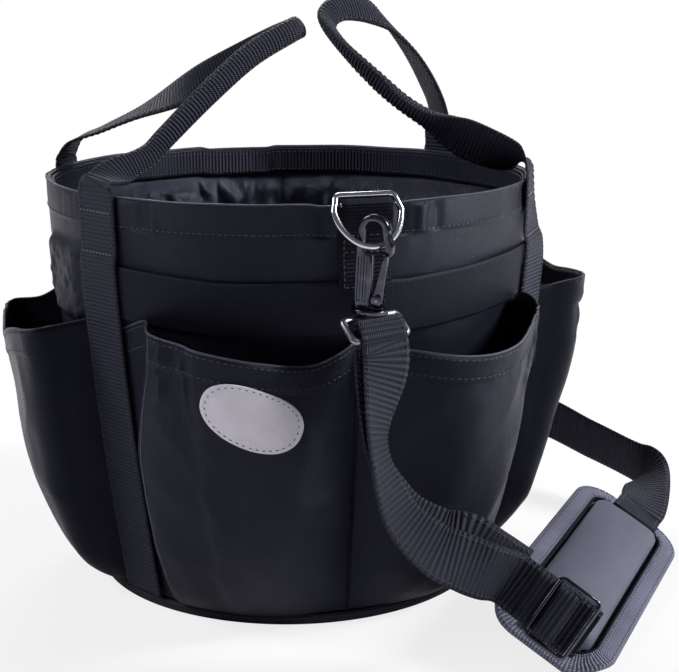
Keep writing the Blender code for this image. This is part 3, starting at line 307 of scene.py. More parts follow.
def makeStage():
    scene = bpy.context.scene
    scene.view_settings.view_transform = "Standard"
    world = bpy.data.worlds.new("softRoom")
    scene.world = world
    world.use_nodes = True
    nodes, links = world.node_tree.nodes, world.node_tree.links
    soft = nodes["Background"]
    soft.inputs["Color"].default_value = (*stageLook["worldLight"], 1)
    soft.inputs["Strength"].default_value = stageLook["worldStrength"]
    white = nodes.new("ShaderNodeBackground")
    white.inputs["Color"].default_value = (1, 1, 1, 1)
    white.inputs["Strength"].default_value = 1.0
    path = nodes.new("ShaderNodeLightPath")
    mix = nodes.new("ShaderNodeMixShader")
    links.new(path.outputs["Is Camera Ray"], mix.inputs[0])
    links.new(soft.outputs[0], mix.inputs[1])
    links.new(white.outputs[0], mix.inputs[2])
    links.new(mix.outputs[0], nodes["World Output"].inputs["Surface"])
    for name in ("key", "fill", "back"):
        place, power, size = stageLook[name]
        data = bpy.data.lights.new(name + "Light", "AREA")
        data.energy = power
        data.size = size
        lamp = bpy.data.objects.new(name + "Light", data)
        scene.collection.objects.link(lamp)
        lamp.location = place
        aim = Vector(stageLook["lampTarget"]) - Vector(place)
        lamp.rotation_euler = aim.to_track_quat("-Z", "Y").to_euler()
    floorMesh = bpy.data.meshes.new("floor")
    half, low = stageLook["floorHalf"], stageLook["floorDrop"]
    corners = [(x * half, y * half, low) for x, y in ((-1, -1), (1, -1), (1, 1), (-1, 1))]
    floorMesh.from_pydata(corners, [], [(0, 1, 2, 3)])
    floor = bpy.data.objects.new("floor", floorMesh)
    scene.collection.objects.link(floor)
    floorMesh.materials.append(floorPaint())


def floorPaint():
    # to the camera the floor glows near white, wholly so far off, and near by it keeps the object's shadow
    paint = Paint("paleFloor")
    paint.finish(colour=stageLook["floorColour"], rough=0.9)
    place = paint.add("ShaderNodeTexCoord").out(3)
    reach = paint.add("ShaderNodeVectorMath", {"operation": "LENGTH"}, [place]).out(1)
    far = ((reach - 0.35) * 0.9).maths("MINIMUM", 1.0).maths("MAXIMUM", 0.0)
    share = paint.add("ShaderNodeLightPath") * (stageLook["floorGlow"] + (1.0 - stageLook["floorGlow"]) * far)
    glow = paint.add("ShaderNodeEmission", None, {"Strength": 1.0})
    mix = paint.add("ShaderNodeMixShader", None, {0: share, 1: Socket(paint, paint.shader), 2: glow})
    paint.feed(paint.tree.nodes["Material Output"].inputs["Surface"], mix)
    return paint.material


# shapes

def polar(radius, degrees, z):
    turn = math.radians(degrees)
    return Vector((radius * math.cos(turn), radius * math.sin(turn), z))


def wallRadius(z):
    rise = min(max(z / bagSize["height"], 0.0), 1.0)
    taper = bagSize["rimRadius"] - bagSize["baseRadius"]
    return bagSize["rimRadius"] - taper * (1.0 - rise) ** bagSize["taperPower"]


def aroundBag(count):
    return [360.0 * k / count for k in range(count)]


def smoothPath(values, t):
    spans = len(values) - 1
    placeOn = min(max(t, 0.0), 1.0) * spans
    i = min(int(placeOn), spans - 1)
    f = placeOn - i
    p0, p1, p2, p3 = values[max(i - 1, 0)], values[i], values[i + 1], values[min(i + 2, spans)]
    return (p1 * 2 + (p2 - p0) * f + (p0 * 2 - p1 * 5 + p2 * 4 - p3) * f * f
            + (p1 * 3 - p0 - p2 * 3 + p3) * f * f * f) * 0.5


def ease(x):
    x = min(max(x, 0.0), 1.0)
    return x * x * (3 - 2 * x)


def ripple(a, b, c):
    return noise.noise(Vector((a, b, c)))


def squared(side, run):
    # the part of side that is square to the run
    return (side - run * side.dot(run)).normalized()


def turnBy(degrees, axis):
    return Matrix.Rotation(math.radians(degrees), 4, axis)


def newObject(name, mesh, paint):
    piece = bpy.data.objects.new(name, mesh)
    bpy.context.scene.collection.objects.link(piece)
    mesh.materials.clear()
    mesh.materials.append(paint)
    return piece


def quad(r, c, n, wide):
    # the face between two rows, from column c to column n
    return (r * wide + c, r * wide + n, (r + 1) * wide + n, (r + 1) * wide + c)


def mappedMesh(name, points, faces, corners):
    mesh = bpy.data.meshes.new(name)
    mesh.from_pydata(points, [], faces)
    layer = mesh.uv_layers.new(name="UVMap")
    layer.data.foreach_set("uv", np.array(corners, np.float32).ravel())
    mesh.shade_smooth()
    return mesh


def gridMesh(name, rows, wrap=False):
    # rows of points become a sheet, and its UV map is in metres along both ways
    count, wide = len(rows), len(rows[0])
    co = np.array([[tuple(p) for p in row] for row in rows])
    stepsAcross = np.linalg.norm(np.roll(co, -1, axis=1) - co, axis=2).mean(axis=0)
    stepsAlong = np.linalg.norm(co[1:] - co[:-1], axis=2).mean(axis=1)
    us = np.concatenate([[0], np.cumsum(stepsAcross)])
    vs = np.concatenate([[0], np.cumsum(stepsAlong)])
    faces, corners = [], []
    for r in range(count - 1):
        for c in range(wide if wrap else wide - 1):
            faces.append(quad(r, c, (c + 1) % wide, wide))
            corners += [(us[c], vs[r]), (us[c + 1], vs[r]), (us[c + 1], vs[r + 1]), (us[c], vs[r + 1])]
    return mappedMesh(name, co.reshape(-1, 3).tolist(), faces, corners)


def beadPiece(name, points, radius, paint, wrap=False, sides=6):
    # a thin round edge along the points
    rows = []
    turns = [turnCircle * j / sides for j in range(sides)]
    for k, point in enumerate(points):
        after = points[(k + 1) % len(points)] if wrap or k < len(points) - 1 else point
        before = points[k - 1] if wrap or k else point
        run = (after - before).normalized()
        side = run.cross(Vector((point.x, point.y, 0.02)).normalized()).normalized()
        rise = side.cross(run)
        rows.append([point + (side * math.cos(t) + rise * math.sin(t)) * radius for t in turns])
    return sheetPiece(name, rows + rows[:1] if wrap else rows, paint)


def sheetPiece(name, rows, paint, wrap=True):
    return newObject(name, gridMesh(name, rows, wrap), paint)


def baked(item):
    # the item's mesh with its modifiers worked in
    bpy.context.view_layer.update()
    return bpy.data.meshes.new_from_object(item.evaluated_get(bpy.context.evaluated_depsgraph_get()))


def workIn(piece):
    mesh = baked(piece)
    piece.modifiers.clear()
    piece.data = mesh
    return mesh


def thicken(piece, amount, offset):
    step = piece.modifiers.new("thickness", "SOLIDIFY")
    step.thickness = amount
    step.offset = offset
    step.use_even_offset = True
    return piece


def settle(piece, body, *nodes, slot=None):
    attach(piece, body)
    if nodes:
        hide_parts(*nodes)
    return piece


def settleBend(piece, body, low, high, *nodes, slot):
    # the piece's placement is baked into its mesh, and the nodes it replaces are hidden
    if nodes:
        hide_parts(*nodes)
    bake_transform(piece)


# webbing: a flat or rolled section swept along a path, ribbed across

webSection = {"topPoints": 9, "ribSamples": 4}


def sectionPoints():
    # unit points round the section: flat place (x, y from -1 to 1), round place, and width for the UV map
    points = []
    n = webSection["topPoints"]
    for side in (1, -1):
        for k in range(n):
            x = side * (1 - 2 * k / (n - 1))
            turn = math.radians((14 if side == 1 else 194) + 152 * k / (n - 1))
            points.append((x * 0.97, side, math.cos(turn), math.sin(turn), x if side == 1 else 2.2 - x))
        turn = math.radians(180 if side == 1 else 360)
        points.append((-side * 1.0, 0.0, math.cos(turn), math.sin(turn), 1.1 * (-side) if side == 1 else 3.3))
    return points


def sweepFrames(stops, step, firstRun=None, lastRun=None, fine=14):
    # stops are (centre, across, halfWidth, halfThick, roundness). Frames come at even distances.
    centres = [Vector(s[0]) for s in stops]
    sides = [Vector(s[1]).normalized() for s in stops]
    sizes = [Vector(s[2:5]) for s in stops]
    count = (len(stops) - 1) * fine
    dense = [smoothPath(centres, n / count) for n in range(count + 1)]
    reach = [0.0]
    for a, b in zip(dense, dense[1:]):
        reach.append(reach[-1] + (b - a).length)
    total = reach[-1]
    pieces = max(int(round(total / step)), 2)
    frames = []
    j = 0
    for k in range(pieces + 1):
        goal = total * k / pieces
        while j < count - 1 and reach[j + 1] < goal:
            j += 1
        f = (goal - reach[j]) / max(reach[j + 1] - reach[j], 1e-9)
        t = (j + min(max(f, 0.0), 1.0)) / count
        ahead = smoothPath(centres, min(t + 0.25 / count, 1.0))
        behind = smoothPath(centres, max(t - 0.25 / count, 0.0))
        run = (ahead - behind).normalized()
        if k == 0 and firstRun:
            run = Vector(firstRun).normalized()
        if k == pieces and lastRun:
            run = Vector(lastRun).normalized()
        across = squared(smoothPath(sides, t), run)
        size = smoothPath(sizes, t)
        frames.append((smoothPath(centres, t), across, run.cross(across), size, goal))
    return frames


def webMesh(name, frames, ribPitch, ribDepth):
    section = sectionPoints()
    wide = len(section)
    points, faces, corners = [], [], []
    for centre, across, up, (halfWidth, halfThick, roundness), reach in frames:
        rib = 1.0 + ribDepth * math.cos(turnCircle * reach / ribPitch)
        for x, y, cx, cy, _ in section:
            flatX = x * halfWidth
            flatY = y * halfThick * rib * (1.0 - 0.12 * (abs(x) > 0.9))
            roundX, roundY = cx * halfWidth, cy * halfThick * (1 + (rib - 1) * 0.5)
            px = flatX + (roundX - flatX) * roundness
            py = flatY + (roundY - flatY) * roundness
            points.append(centre + across * px + up * py)
    for r in range(len(frames) - 1):
        for c in range(wide):
            n = (c + 1) % wide
            faces.append(quad(r, c, n, wide))
            half = frames[r][3][0]
            ua, ub = section[c][4] * half, (section[n][4] if n else 3.4) * half
            va, vb = frames[r][4], frames[r + 1][4]
            corners += [(ua, va), (ub, va), (ub, vb), (ua, vb)]
    for row in (0, len(frames) - 1):
        ring = [row * wide + c for c in range(wide)]
        faces.append(tuple(reversed(ring)) if row == 0 else tuple(ring))
        corners += [(section[c][0] * webHalf, section[c][1] * webThick) for c in
                    (reversed(range(wide)) if row == 0 else range(wide))]
    return mappedMesh(name, [tuple(p) for p in points], faces, corners)


def webPiece(name, stops, paint, ribPitch, ribDepth, firstRun=None, lastRun=None):
    frames = sweepFrames(stops, ribPitch / webSection["ribSamples"], firstRun, lastRun)
    return newObject(name, webMesh(name, frames, ribPitch, ribDepth), paint), frames


# stitches: short spindles laid along a line on a surface

# each seam's stitch: its length, the space to the next and its thickness
stitchSizes = {
    "hem": (0.0026, 0.0011, 0.00032), "rim": (0.0026, 0.0014, 0.0003), "pocket": (0.0026, 0.0012, 0.0003),
    "patch": (0.0016, 0.0022, 0.0003), "handle": (0.0026, 0.0014, 0.00032),
    "grip": (0.0026, 0.0014, 0.00034), "tack": (0.0018, 0.0012, 0.00040), "tab": (0.0024, 0.0010, 0.00034),
    "strap": (0.0026, 0.0014, 0.0003), "pad": (0.0026, 0.0014, 0.00034),
}


class Stitches:
    def __init__(self):
        self.points = []
        self.faces = []

    def dash(self, start, end, normal, thick):
        run = end - start
        side = run.normalized().cross(normal).normalized()
        rise = side.cross(run.normalized()).normalized()
        ring = [side * math.cos(turnCircle * k / 6) + rise * math.sin(turnCircle * k / 6) for k in range(6)]
        base = len(self.points)
        self.points.append(start - rise * thick * 0.5)
        for t, size in ((0.15, 0.75), (0.5, 1.0), (0.85, 0.75)):
            self.points += [start + run * t + out * thick * size for out in ring]
        self.points.append(end - rise * thick * 0.5)
        last = len(self.points) - 1
        for k in range(6):
            n = (k + 1) % 6
            self.faces.append((base, base + 1 + n, base + 1 + k))
            for r in range(2):
                a = base + 1 + r * 6
                self.faces.append((a + k, a + n, a + 6 + n, a + 6 + k))
            self.faces.append((base + 13 + k, base + 13 + n, last))

    def line(self, points, normals, length, space, thick):
        # walk along the polyline and lay a dash at even spacing
        reach = [0.0]
        for a, b in zip(points, points[1:]):
            reach.append(reach[-1] + (b - a).length)
        if reach[-1] < length:
            return

        def at(goal):
            j = min(max(int(np.searchsorted(reach, goal)) - 1, 0), len(points) - 2)
            f = (goal - reach[j]) / max(reach[j + 1] - reach[j], 1e-9)
            return points[j].lerp(points[j + 1], f), normals[j].lerp(normals[j + 1], f).normalized()

        count = max(int(reach[-1] / (length + space)), 1)
        pitch = reach[-1] / count
        for k in range(count):
            a, normal = at(k * pitch)
            b, _ = at(k * pitch + pitch * length / (length + space))
            self.dash(a + normal * thick * 0.35, b + normal * thick * 0.35, normal, thick)

    def piece(self, name, paint):
        mesh = bpy.data.meshes.new(name)
        mesh.from_pydata([tuple(p) for p in self.points], [], self.faces)
        mesh.shade_smooth()
        return newObject(name, mesh, paint)


def wallNormal(degrees):
    return polar(1.0, degrees, 0.12).normalized()


# the bag's shell

shellLook = {"columns": 540, "stitchColumns": 400, "hemLift": 0.0005, "pucker": 0.0006, "hemFold": 0.0034,
             "drape": 0.0005, "lowest": -0.0011, "highest": 0.0024, "liningFold": 0.0075,
             "cover": 0.0030, "crumple": 0.0030, "crumpleAt": -168.0, "crumpleZ": 0.200,
             "flatHalf": 8.5, "flatFade": 8.0, "ringHalf": 8.0, "ringFade": 3.0, "ringDent": 0.0014,
             "ringLining": 0.0007, "rimDip": 0.0012, "rimWave": 0.0007, "rimBead": 0.00055}


def shellPoint(degrees, z, inner):
    base = wallRadius(z)
    top, hemFrom = bagSize["height"], bagSize["height"] - bagSize["hemHeight"]
    hem = ease((z - hemFrom) / 0.0016)
    around = math.radians(degrees)
    cx, cy = math.cos(around), math.sin(around)
    if inner:
        # creased lining: folds that meet in sharp lines, at three sizes
        bend = ripple(cx * 4, cy * 4 + z * 14, 5.0)
        folds = abs(ripple(cx * 5 + bend, cy * 5, z * 17 + 9))
        folds += 0.5 * abs(ripple(cx * 11, cy * 11 + bend, z * 34 + 3))
        folds += 0.2 * abs(ripple(cx * 26, cy * 26, z * 80))
        depth = bagSize["cloth"]
        if hem > 0.5:
            depth = bagSize["hemCloth"] + shellLook["ringLining"] * ringNear(degrees)
        free = ease((0.2350 - z) / 0.012) * ease((z - 0.004) / 0.03)
        return polar(base - depth - min(folds, 0.75) * shellLook["liningFold"] * free, degrees, z)
    pucker = ripple(cx * 9, cy * 9, z * 60) * 0.6 + ripple(cx * 26, cy * 26, z * 30) * 0.4
    pucker *= 0.25 + 0.75 * math.exp(-((z - hemFrom) / 0.011) ** 2)
    drape = ripple(cx * 3.2, cy * 3.2, z * 11 + 4)
    gathers = ripple(cx * 13, cy * 13, z * 9) + 0.6 * ripple(cx * 27, cy * 27, z * 16)
    lift = hem * shellLook["hemLift"] + shellLook["pucker"] * pucker + shellLook["drape"] * drape
    lift += shellLook["hemFold"] * gathers * hem * ease((top - z) / 0.004) * (1.0 + 0.6 * cx)
    if z > top - 0.0010:
        lift -= 0.0004
    # the cloth lies flat under the straps and tabs, which come every 60 degrees
    away = ease((abs((degrees + 30.0) % 60.0 - 30.0) - shellLook["flatHalf"]) / shellLook["flatFade"])
    ring = ringNear(degrees)
    pressed = hem * (shellLook["hemLift"] * (1.0 - ring) + shellLook["lowest"] * ring)
    lift = pressed * (1.0 - away) + lift * away
    lift = min(max(lift, shellLook["lowest"]), shellLook["highest"]) - shellLook["ringDent"] * ring * hem
    return polar(base + lift + crumpleAt(degrees, z), degrees, z)


def crumpleAt(degrees, z):
    # loose cloth beside the front left strap stands off the wall in sharp folds
    turn = (degrees - shellLook["crumpleAt"] + 180) % 360 - 180
    near = ease((abs(turn) - 11.0) / -4.0) * ease((0.027 - abs(z - shellLook["crumpleZ"])) / 0.009)
    fold = abs(ripple(turn * 0.22, z * 75, 3.0)) + 0.5 * abs(ripple(turn * 0.5, z * 160, 8.0))
    return near * (shellLook["cover"] + shellLook["crumple"] * min(fold, 0.7))


def ringNear(degrees):
    # one behind the front and rear rings, which need room to swing
    return 1.0 - ease((abs(degrees % 180.0 - 90.0) - shellLook["ringHalf"]) / shellLook["ringFade"])


def rimWave(degrees):
    turn = math.radians(degrees)
    wave = shellLook["rimWave"] * ripple(math.cos(turn) * 4, math.sin(turn) * 4, 2.0)
    return wave * (1.0 - ringNear(degrees)) - shellLook["rimDip"] * ringNear(degrees)


def shellRows(heights, inner):
    return [[shellPoint(d, z, inner) + Vector((0, 0, rimWave(d) * ease((z - 0.2) / 0.055)))
             for d in aroundBag(shellLook["columns"])] for z in heights]


def makeShell(paints, stitches):
    top = bagSize["height"]
    hem = top - bagSize["hemHeight"]
    outerZ = list(np.linspace(0.0030, 0.150, 28)) + list(np.linspace(0.154, hem - 0.0012, 40))
    outerZ += [hem - 0.0004, hem + 0.0003, hem + 0.0012]
    outerZ += list(np.linspace(hem + 0.0030, top - 0.0008, 14)) + [top]
    innerZ = [top, top - 0.0010] + list(np.linspace(top - 0.004, 0.150, 66))
    innerZ += list(np.linspace(0.145, 0.0065, 26)) + [0.0030]
    lining = shellRows(innerZ, True)
    shell = sheetPiece("bagShell", shellRows(outerZ, False) + lining[:2], paints["cloth"])
    settle(shell, "bag", "body_wall", slot="body_cloth")
    settle(sheetPiece("bagLining", lining[1:], paints["lining"]), "bag", slot="body_cloth")
    line = aroundBag(shellLook["stitchColumns"]) + [360.0]
    points = [shellPoint(d, hem + 0.0022, False) + Vector((0, 0, rimWave(d) * 0.5)) for d in line]
    stitches.line(points, [wallNormal(d) for d in line], *stitchSizes["hem"])
    # the folded edge along the rim, a real thin bead whose lighter cloth is a painted highlight
    edge = [shellPoint(d, top, False) + Vector((0, 0, rimWave(d) + 0.0002)) for d in line[:-1]]
    bead = beadPiece("rimEdge", edge, shellLook["rimBead"], paints["edge"], True)
    settle(bead, "bag", slot="body_cloth")


# bands round the wall

bandLook = {"ribs": 360, "samples": 4, "rimHeight": 0.0170, "columns": 288, "thick": 0.0015,
            "standoff": 0.0004,
            "sagAngles": (0, 30, 37, 50, 70, 80, 90, 100, 120, 135, 150, 180),
            "sags": (0.0, 0.001, 0.003, 0.0025, 0.0, -0.0015, -0.0005, -0.0010, -0.0018, 0.001, 0.003, 0.0)}


def bandSag(degrees):
    # the tool band hangs between the straps, and is lifted where they hold it
    return float(np.interp(abs((degrees + 180) % 360 - 180), bandLook["sagAngles"], bandLook["sags"]))


def makeBands(paints, stitches):
    low, high = bagSize["bandLow"], bagSize["bandHigh"]
    degrees = aroundBag(bandLook["columns"])

    def bandPoint(d, f, out):
        z = low + (high - low) * f + bandSag(d)
        puff = 0.0003 * ripple(d * 0.22, f * 2, 5.0)
        return polar(wallRadius(z) + gap + bandLook["standoff"] + (out + max(puff, 0) if out else 0.0), d, z)

    rows = [[bandPoint(d, f, bandLook["thick"]) for d in degrees] for f in np.linspace(0.0, 1.0, 13)]
    rows += [[bandPoint(d, f, 0.0) for d in degrees] for f in (1.0, 0.0)]
    rows.append(rows[0])
    band = sheetPiece("toolBand", rows, paints["smoothWeb"])
    settle(band, "bag", "tool_band", slot="band_webbing")

    top = bagSize["height"] - 0.0015
    count = bandLook["ribs"] * bandLook["samples"]
    inner = []
    for f, back in [(f, False) for f in np.linspace(0.0, 1.0, 9)] + [(1.0, True), (0.0, True)]:
        z = top - bandLook["rimHeight"] * f
        ring = []
        for k in range(count):
            d = 360.0 * k / count
            rib = 0.00018 * math.cos(turnCircle * k / bandLook["samples"]) + 0.0002 * ripple(d * 0.4, f, 2.0)
            depth = bagSize["hemCloth"] + gap + (0.0 if back else webThick - rib)
            ring.append(polar(wallRadius(z) - depth, d, z + rimWave(d)))
        inner.append(ring)
    inner.append(inner[0])
    rim = sheetPiece("rimWebbing", inner, paints["rimWeb"])
    settle(rim, "bag", "rim_webbing", slot="rim_web")
    line = aroundBag(shellLook["stitchColumns"]) + [360.0]
    for z in (top - 0.0022, top - bandLook["rimHeight"] + 0.0022):
        face = wallRadius(z) - bagSize["hemCloth"] - gap - webThick - 0.0002
        points = [polar(face, d, z + rimWave(d)) for d in line]
        stitches.line(points, [-wallNormal(d) for d in line], *stitchSizes["rim"])


def dressNode(node, paint):
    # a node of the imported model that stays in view
    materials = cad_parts[node].data.materials
    materials.clear()
    materials.append(paint)


def makeBase(paints):
    inner, outer = bagSize["baseRadius"] + 0.0017, bagSize["baseRadius"] + 0.0041
    profile = [(outer - 0.0012, 0.0065), (outer - 0.0003, 0.0060), (outer, 0.0048), (outer, 0.0022),
               (outer - 0.0003, 0.0008), (outer - 0.0012, 0.0003), (inner + 0.0002, 0.0003), (inner, 0.0010),
               (inner, 0.0060), (inner + 0.0003, 0.0065)]
    rows = [[polar(r, d, z) for d in aroundBag(240)] for r, z in profile + profile[:1]]
    tape = sheetPiece("baseTape", list(reversed(rows)), paints["tape"])
    settle(tape, "bag", "base_binding", slot="base_tape")
    dressNode("base_panel", paints["cloth"])
    dressNode("base_board", paints["board"])


# pockets

pocketLook = {"cloth": 0.0012, "low": 0.0080, "belly": 0.120, "power": 2.2, "tuckIn": 0.0120,
              "tuckOut": 0.0172, "hem": 0.016, "deep": 0.165, "columns": 84, "rows": 60, "leanFrom": 14.5,
              "fold": 0.0022, "crease": 0.0048, "pinch": 0.0060, "mouthBead": 0.00075, "creaseBead": 0.0005}
pocketHemFrom = 1.0 - pocketLook["hem"] / pocketLook["deep"]


def frontPocket(corner, cornerOut, middleOut, cornerHigh, tops):
    # its side at the strap is folded in behind the corner, and tops are the mouth's heights from there
    return {
        "angles": (None, None, corner * 0.80, corner, corner + 7, 30, 40, 50, None),
        "outs": (gap, gap, cornerOut * 0.42, cornerOut, cornerOut + (middleOut - cornerOut) * 0.5,
                 middleOut, middleOut * 0.92, middleOut * 0.46, gap),
        "tops": (0.1795, 0.1805, cornerHigh + 0.0030, cornerHigh, *tops, 0.1780),
        "ends": (pocketLook["tuckIn"], pocketLook["tuckOut"], 0.0011),
        "lean": corner - pocketLook["leanFrom"]}


def sidePocket(middleOut, cornerHigh, middleHigh, droop, farLow=0.0):
    half = ((None, gap, 0.1795), (None, gap, 0.1800), (8.4, middleOut * 0.50, (0.1795 + cornerHigh) / 2),
            (9.8, middleOut * 0.97, cornerHigh), (15.0, middleOut * 1.03, cornerHigh - droop),
            (22.5, middleOut, (cornerHigh + middleHigh) / 2), (30.0, middleOut * 0.98, middleHigh))
    far = [(a, o, h - (farLow if a and a < 30 else 0.0)) for a, o, h in half]
    whole = far + [(60 - a if a else None, o, h) for a, o, h in reversed(half[:-1])]
    return {"angles": tuple(p[0] for p in whole), "outs": tuple(p[1] for p in whole),
            "tops": tuple(p[2] for p in whole), "ends": (pocketLook["tuckIn"], pocketLook["tuckOut"], None)}


leftMouth = (0.1825, 0.1803, 0.1745, 0.1695)
rightMouth = (0.1795, 0.1708, 0.1695, 0.1735)
pockets = {
    "pocket_front_left": (-150.0, 1.0, frontPocket(19.0, 0.0240, 0.0340, 0.1860, leftMouth)),
    "pocket_front_right": (-30.0, -1.0, frontPocket(14.0, 0.0185, 0.0335, 0.1860, rightMouth)),
    "pocket_right": (-30.0, 1.0, sidePocket(0.0385, 0.1880, 0.1830, 0.0)),
    "pocket_rear_right": (30.0, 1.0, frontPocket(14.0, 0.0185, 0.0335, 0.1860, rightMouth)),
    "pocket_rear_left": (150.0, -1.0, frontPocket(19.0, 0.0240, 0.0340, 0.1860, leftMouth)),
    "pocket_left": (150.0, 1.0, sidePocket(0.0360, 0.1765, 0.1610, 0.002, 0.0080))}


def belly(z):
    rise = min(max((z - pocketLook["low"]) / (pocketLook["belly"] - pocketLook["low"]), 0.0), 1.0)
    return (1.0 - (1.0 - rise) ** pocketLook["power"]) ** (1.0 / pocketLook["power"])


def pocketColumns(shape, z):
    radius = wallRadius(z)
    tuckIn, tuckOut, seam = [math.degrees(e / radius) if e else None for e in shape["ends"]]
    angles = list(shape["angles"])
    angles[0], angles[1] = tuckIn, tuckOut
    if seam is None:
        angles[-1], angles[-2] = 60 - tuckIn, 60 - tuckOut
    else:
        angles[-1] = 60 - seam
    return angles


def pocketPoint(pocket, column, rise, lift=0.0):
    start, direction, shape = pocket
    spans = len(shape["outs"]) - 1
    t = column / spans
    top = smoothPath(shape["tops"], t)
    z = pocketLook["low"] + (top - pocketLook["low"]) * rise
    angles = pocketColumns(shape, z)
    spread = (1.0 - min(max(rise, 0.0), 1.0)) ** 1.5 * 0.35
    even = [angles[1] + (angles[-1] - angles[1]) * k / (spans - 1) for k in range(-1, spans)]
    mixed = [a if k < 2 or k > spans - 2 and shape["ends"][2] is None or k == spans
             else a + (e - a) * spread for k, (a, e) in enumerate(zip(angles, even))]
    back = shape.get("lean", 0.0) * ease((1.0 - rise) / 0.45)
    mixed[2] -= back * 0.6
    mixed[3] -= back
    angle = smoothPath(mixed, t)
    out = max(smoothPath(shape["outs"], t), gap)
    bulge = gap + (out - gap) * belly(z)
    return polar(wallRadius(z) + bulge + lift, start + direction * angle, z)


def pocketLift(column, spans, rise, seed):
    # hem step, soft folds and fine puckers, held down where the cloth is sewn to the wall
    edge = ease(min(column - 0.9, spans - column) / 1.2)
    hem = ease((rise - pocketHemFrom) / 0.008)
    across = column / spans
    fold = ripple(across * 5.5, rise * 1.6, seed)
    small = ripple(across * 15, rise * 9, seed + 3)
    tiny = ripple(across * 60, rise * 14, seed + 7)
    nearHem = math.exp(-((rise - pocketHemFrom) / 0.05) ** 2)
    crease = abs(ripple(across * 5.0 + rise * 2.5, rise * 2.2 - across, seed + 17))
    soft = pocketLook["fold"] * fold - pocketLook["crease"] * crease + 0.0010
    soft = soft * ease((1.02 - rise) / 0.25) * ease(rise / 0.08)
    # the hem is gathered at the pocket's corner
    pinch = math.exp(-((column - 3.6) / 0.60) ** 2 - ((rise - pocketHemFrom) / 0.12) ** 2)
    soft += pocketLook["pinch"] * pinch * abs(ripple(across * 42, rise * 8 + across * 16, seed + 11))
    return edge * (soft + 0.0005 * small + 0.00035 * tiny * (0.25 + nearHem)) + hem * 0.0006 * ease(edge * 3)


def makePockets(paints, stitches):
    for index, (node, pocket) in enumerate(pockets.items()):
        spans = len(pocket[2]["outs"]) - 1
        columns = [spans * k / pocketLook["columns"] for k in range(pocketLook["columns"] + 1)]
        rises = sorted([(k / pocketLook["rows"]) ** 1.25 for k in range(pocketLook["rows"] + 1)]
                       + [pocketHemFrom + step for step in (-0.004, 0.002, 0.006)])
        seed = index * 5.1
        slot = node + "_cloth"

        def surface(column, rise, extra=0.0):
            return pocketPoint(pocket, column, rise, extra + pocketLift(column, spans, rise, seed))

        rows = [[surface(c, r) for c in columns] for r in rises]
        piece = sheetPiece(node + "_cover", rows, paints["pocket"], False)
        thicken(piece, pocketLook["cloth"], -1.0 if pocket[1] < 0 else 1.0)
        settle(piece, "bag", node, slot=slot)
        for rise in (pocketHemFrom + 0.016, 0.985):
            inside = [c for c in columns if 0.95 < c < spans - 0.12]
            points = [surface(c, rise, pocketLook["cloth"]) for c in inside]
            normals = [Vector((p.x, p.y, 0.0)).normalized() for p in points]
            stitches.line(points, normals, *stitchSizes["pocket"])
        # a bead along each mouth's folded edge, in the lighter edge cloth: a painted highlight
        mouth = [surface(spans * k / 160, 1.0, pocketLook["cloth"] / 2) for k in range(8, 161)]
        settle(beadPiece(node + "_mouth", mouth, pocketLook["mouthBead"], paints["edge"]), "bag", slot=slot)
        if pocket[2]["ends"][2]:
            # the corner that stands beside the strap is pressed into a crease, and a bead in the lighter edge
            # cloth along it is a painted highlight
            crease = [surface(3, 0.12 + 0.88 * k / 60, pocketLook["cloth"]) for k in range(61)]
            bead = beadPiece(node + "_crease3", crease, pocketLook["creaseBead"], paints["edge"])
            settle(bead, "bag", slot=slot)
        print("pocket", node)


def riseAt(pocket, column, high):
    top = smoothPath(pocket[2]["tops"], column / (len(pocket[2]["outs"]) - 1))
    return (high - pocketLook["low"]) / (top - pocketLook["low"])


patchLook = {"pocket": "pocket_front_left", "centreAngle": -111.3, "centreZ": 0.1430, "radius": 0.180,
             "halfWide": 0.0300, "halfHigh": 0.0172, "tilt": -26.0, "thick": 0.0009, "corner": 0.90,
             "border": 0.90}


def patchSpot(across, high, lift):
    pocket = pockets[patchLook["pocket"]]
    target = patchLook["centreAngle"] + math.degrees(across / patchLook["radius"])
    low, up = 2.0, 7.5
    for _ in range(22):
        middle = (low + up) / 2
        point = pocketPoint(pocket, middle, riseAt(pocket, middle, high))
        if math.degrees(math.atan2(point.y, point.x)) < target:
            low = middle
        else:
            up = middle
    rise = riseAt(pocket, middle, high)
    spans = len(pocket[2]["outs"]) - 1
    lift += pocketLook["cloth"]
    return pocketPoint(pocket, middle, rise, lift + pocketLift(middle, spans, rise, 0.0))


def patchPoint(turn, size, lift):
    tilt = math.radians(patchLook["tilt"])
    c, s = math.cos(turn), math.sin(turn)
    x = math.copysign(abs(c) ** patchLook["corner"], c) * patchLook["halfWide"] * size
    y = math.copysign(abs(s) ** patchLook["corner"], s) * patchLook["halfHigh"] * size
    return patchSpot(x * math.cos(tilt) - y * math.sin(tilt),
                     patchLook["centreZ"] + x * math.sin(tilt) + y * math.cos(tilt), lift)


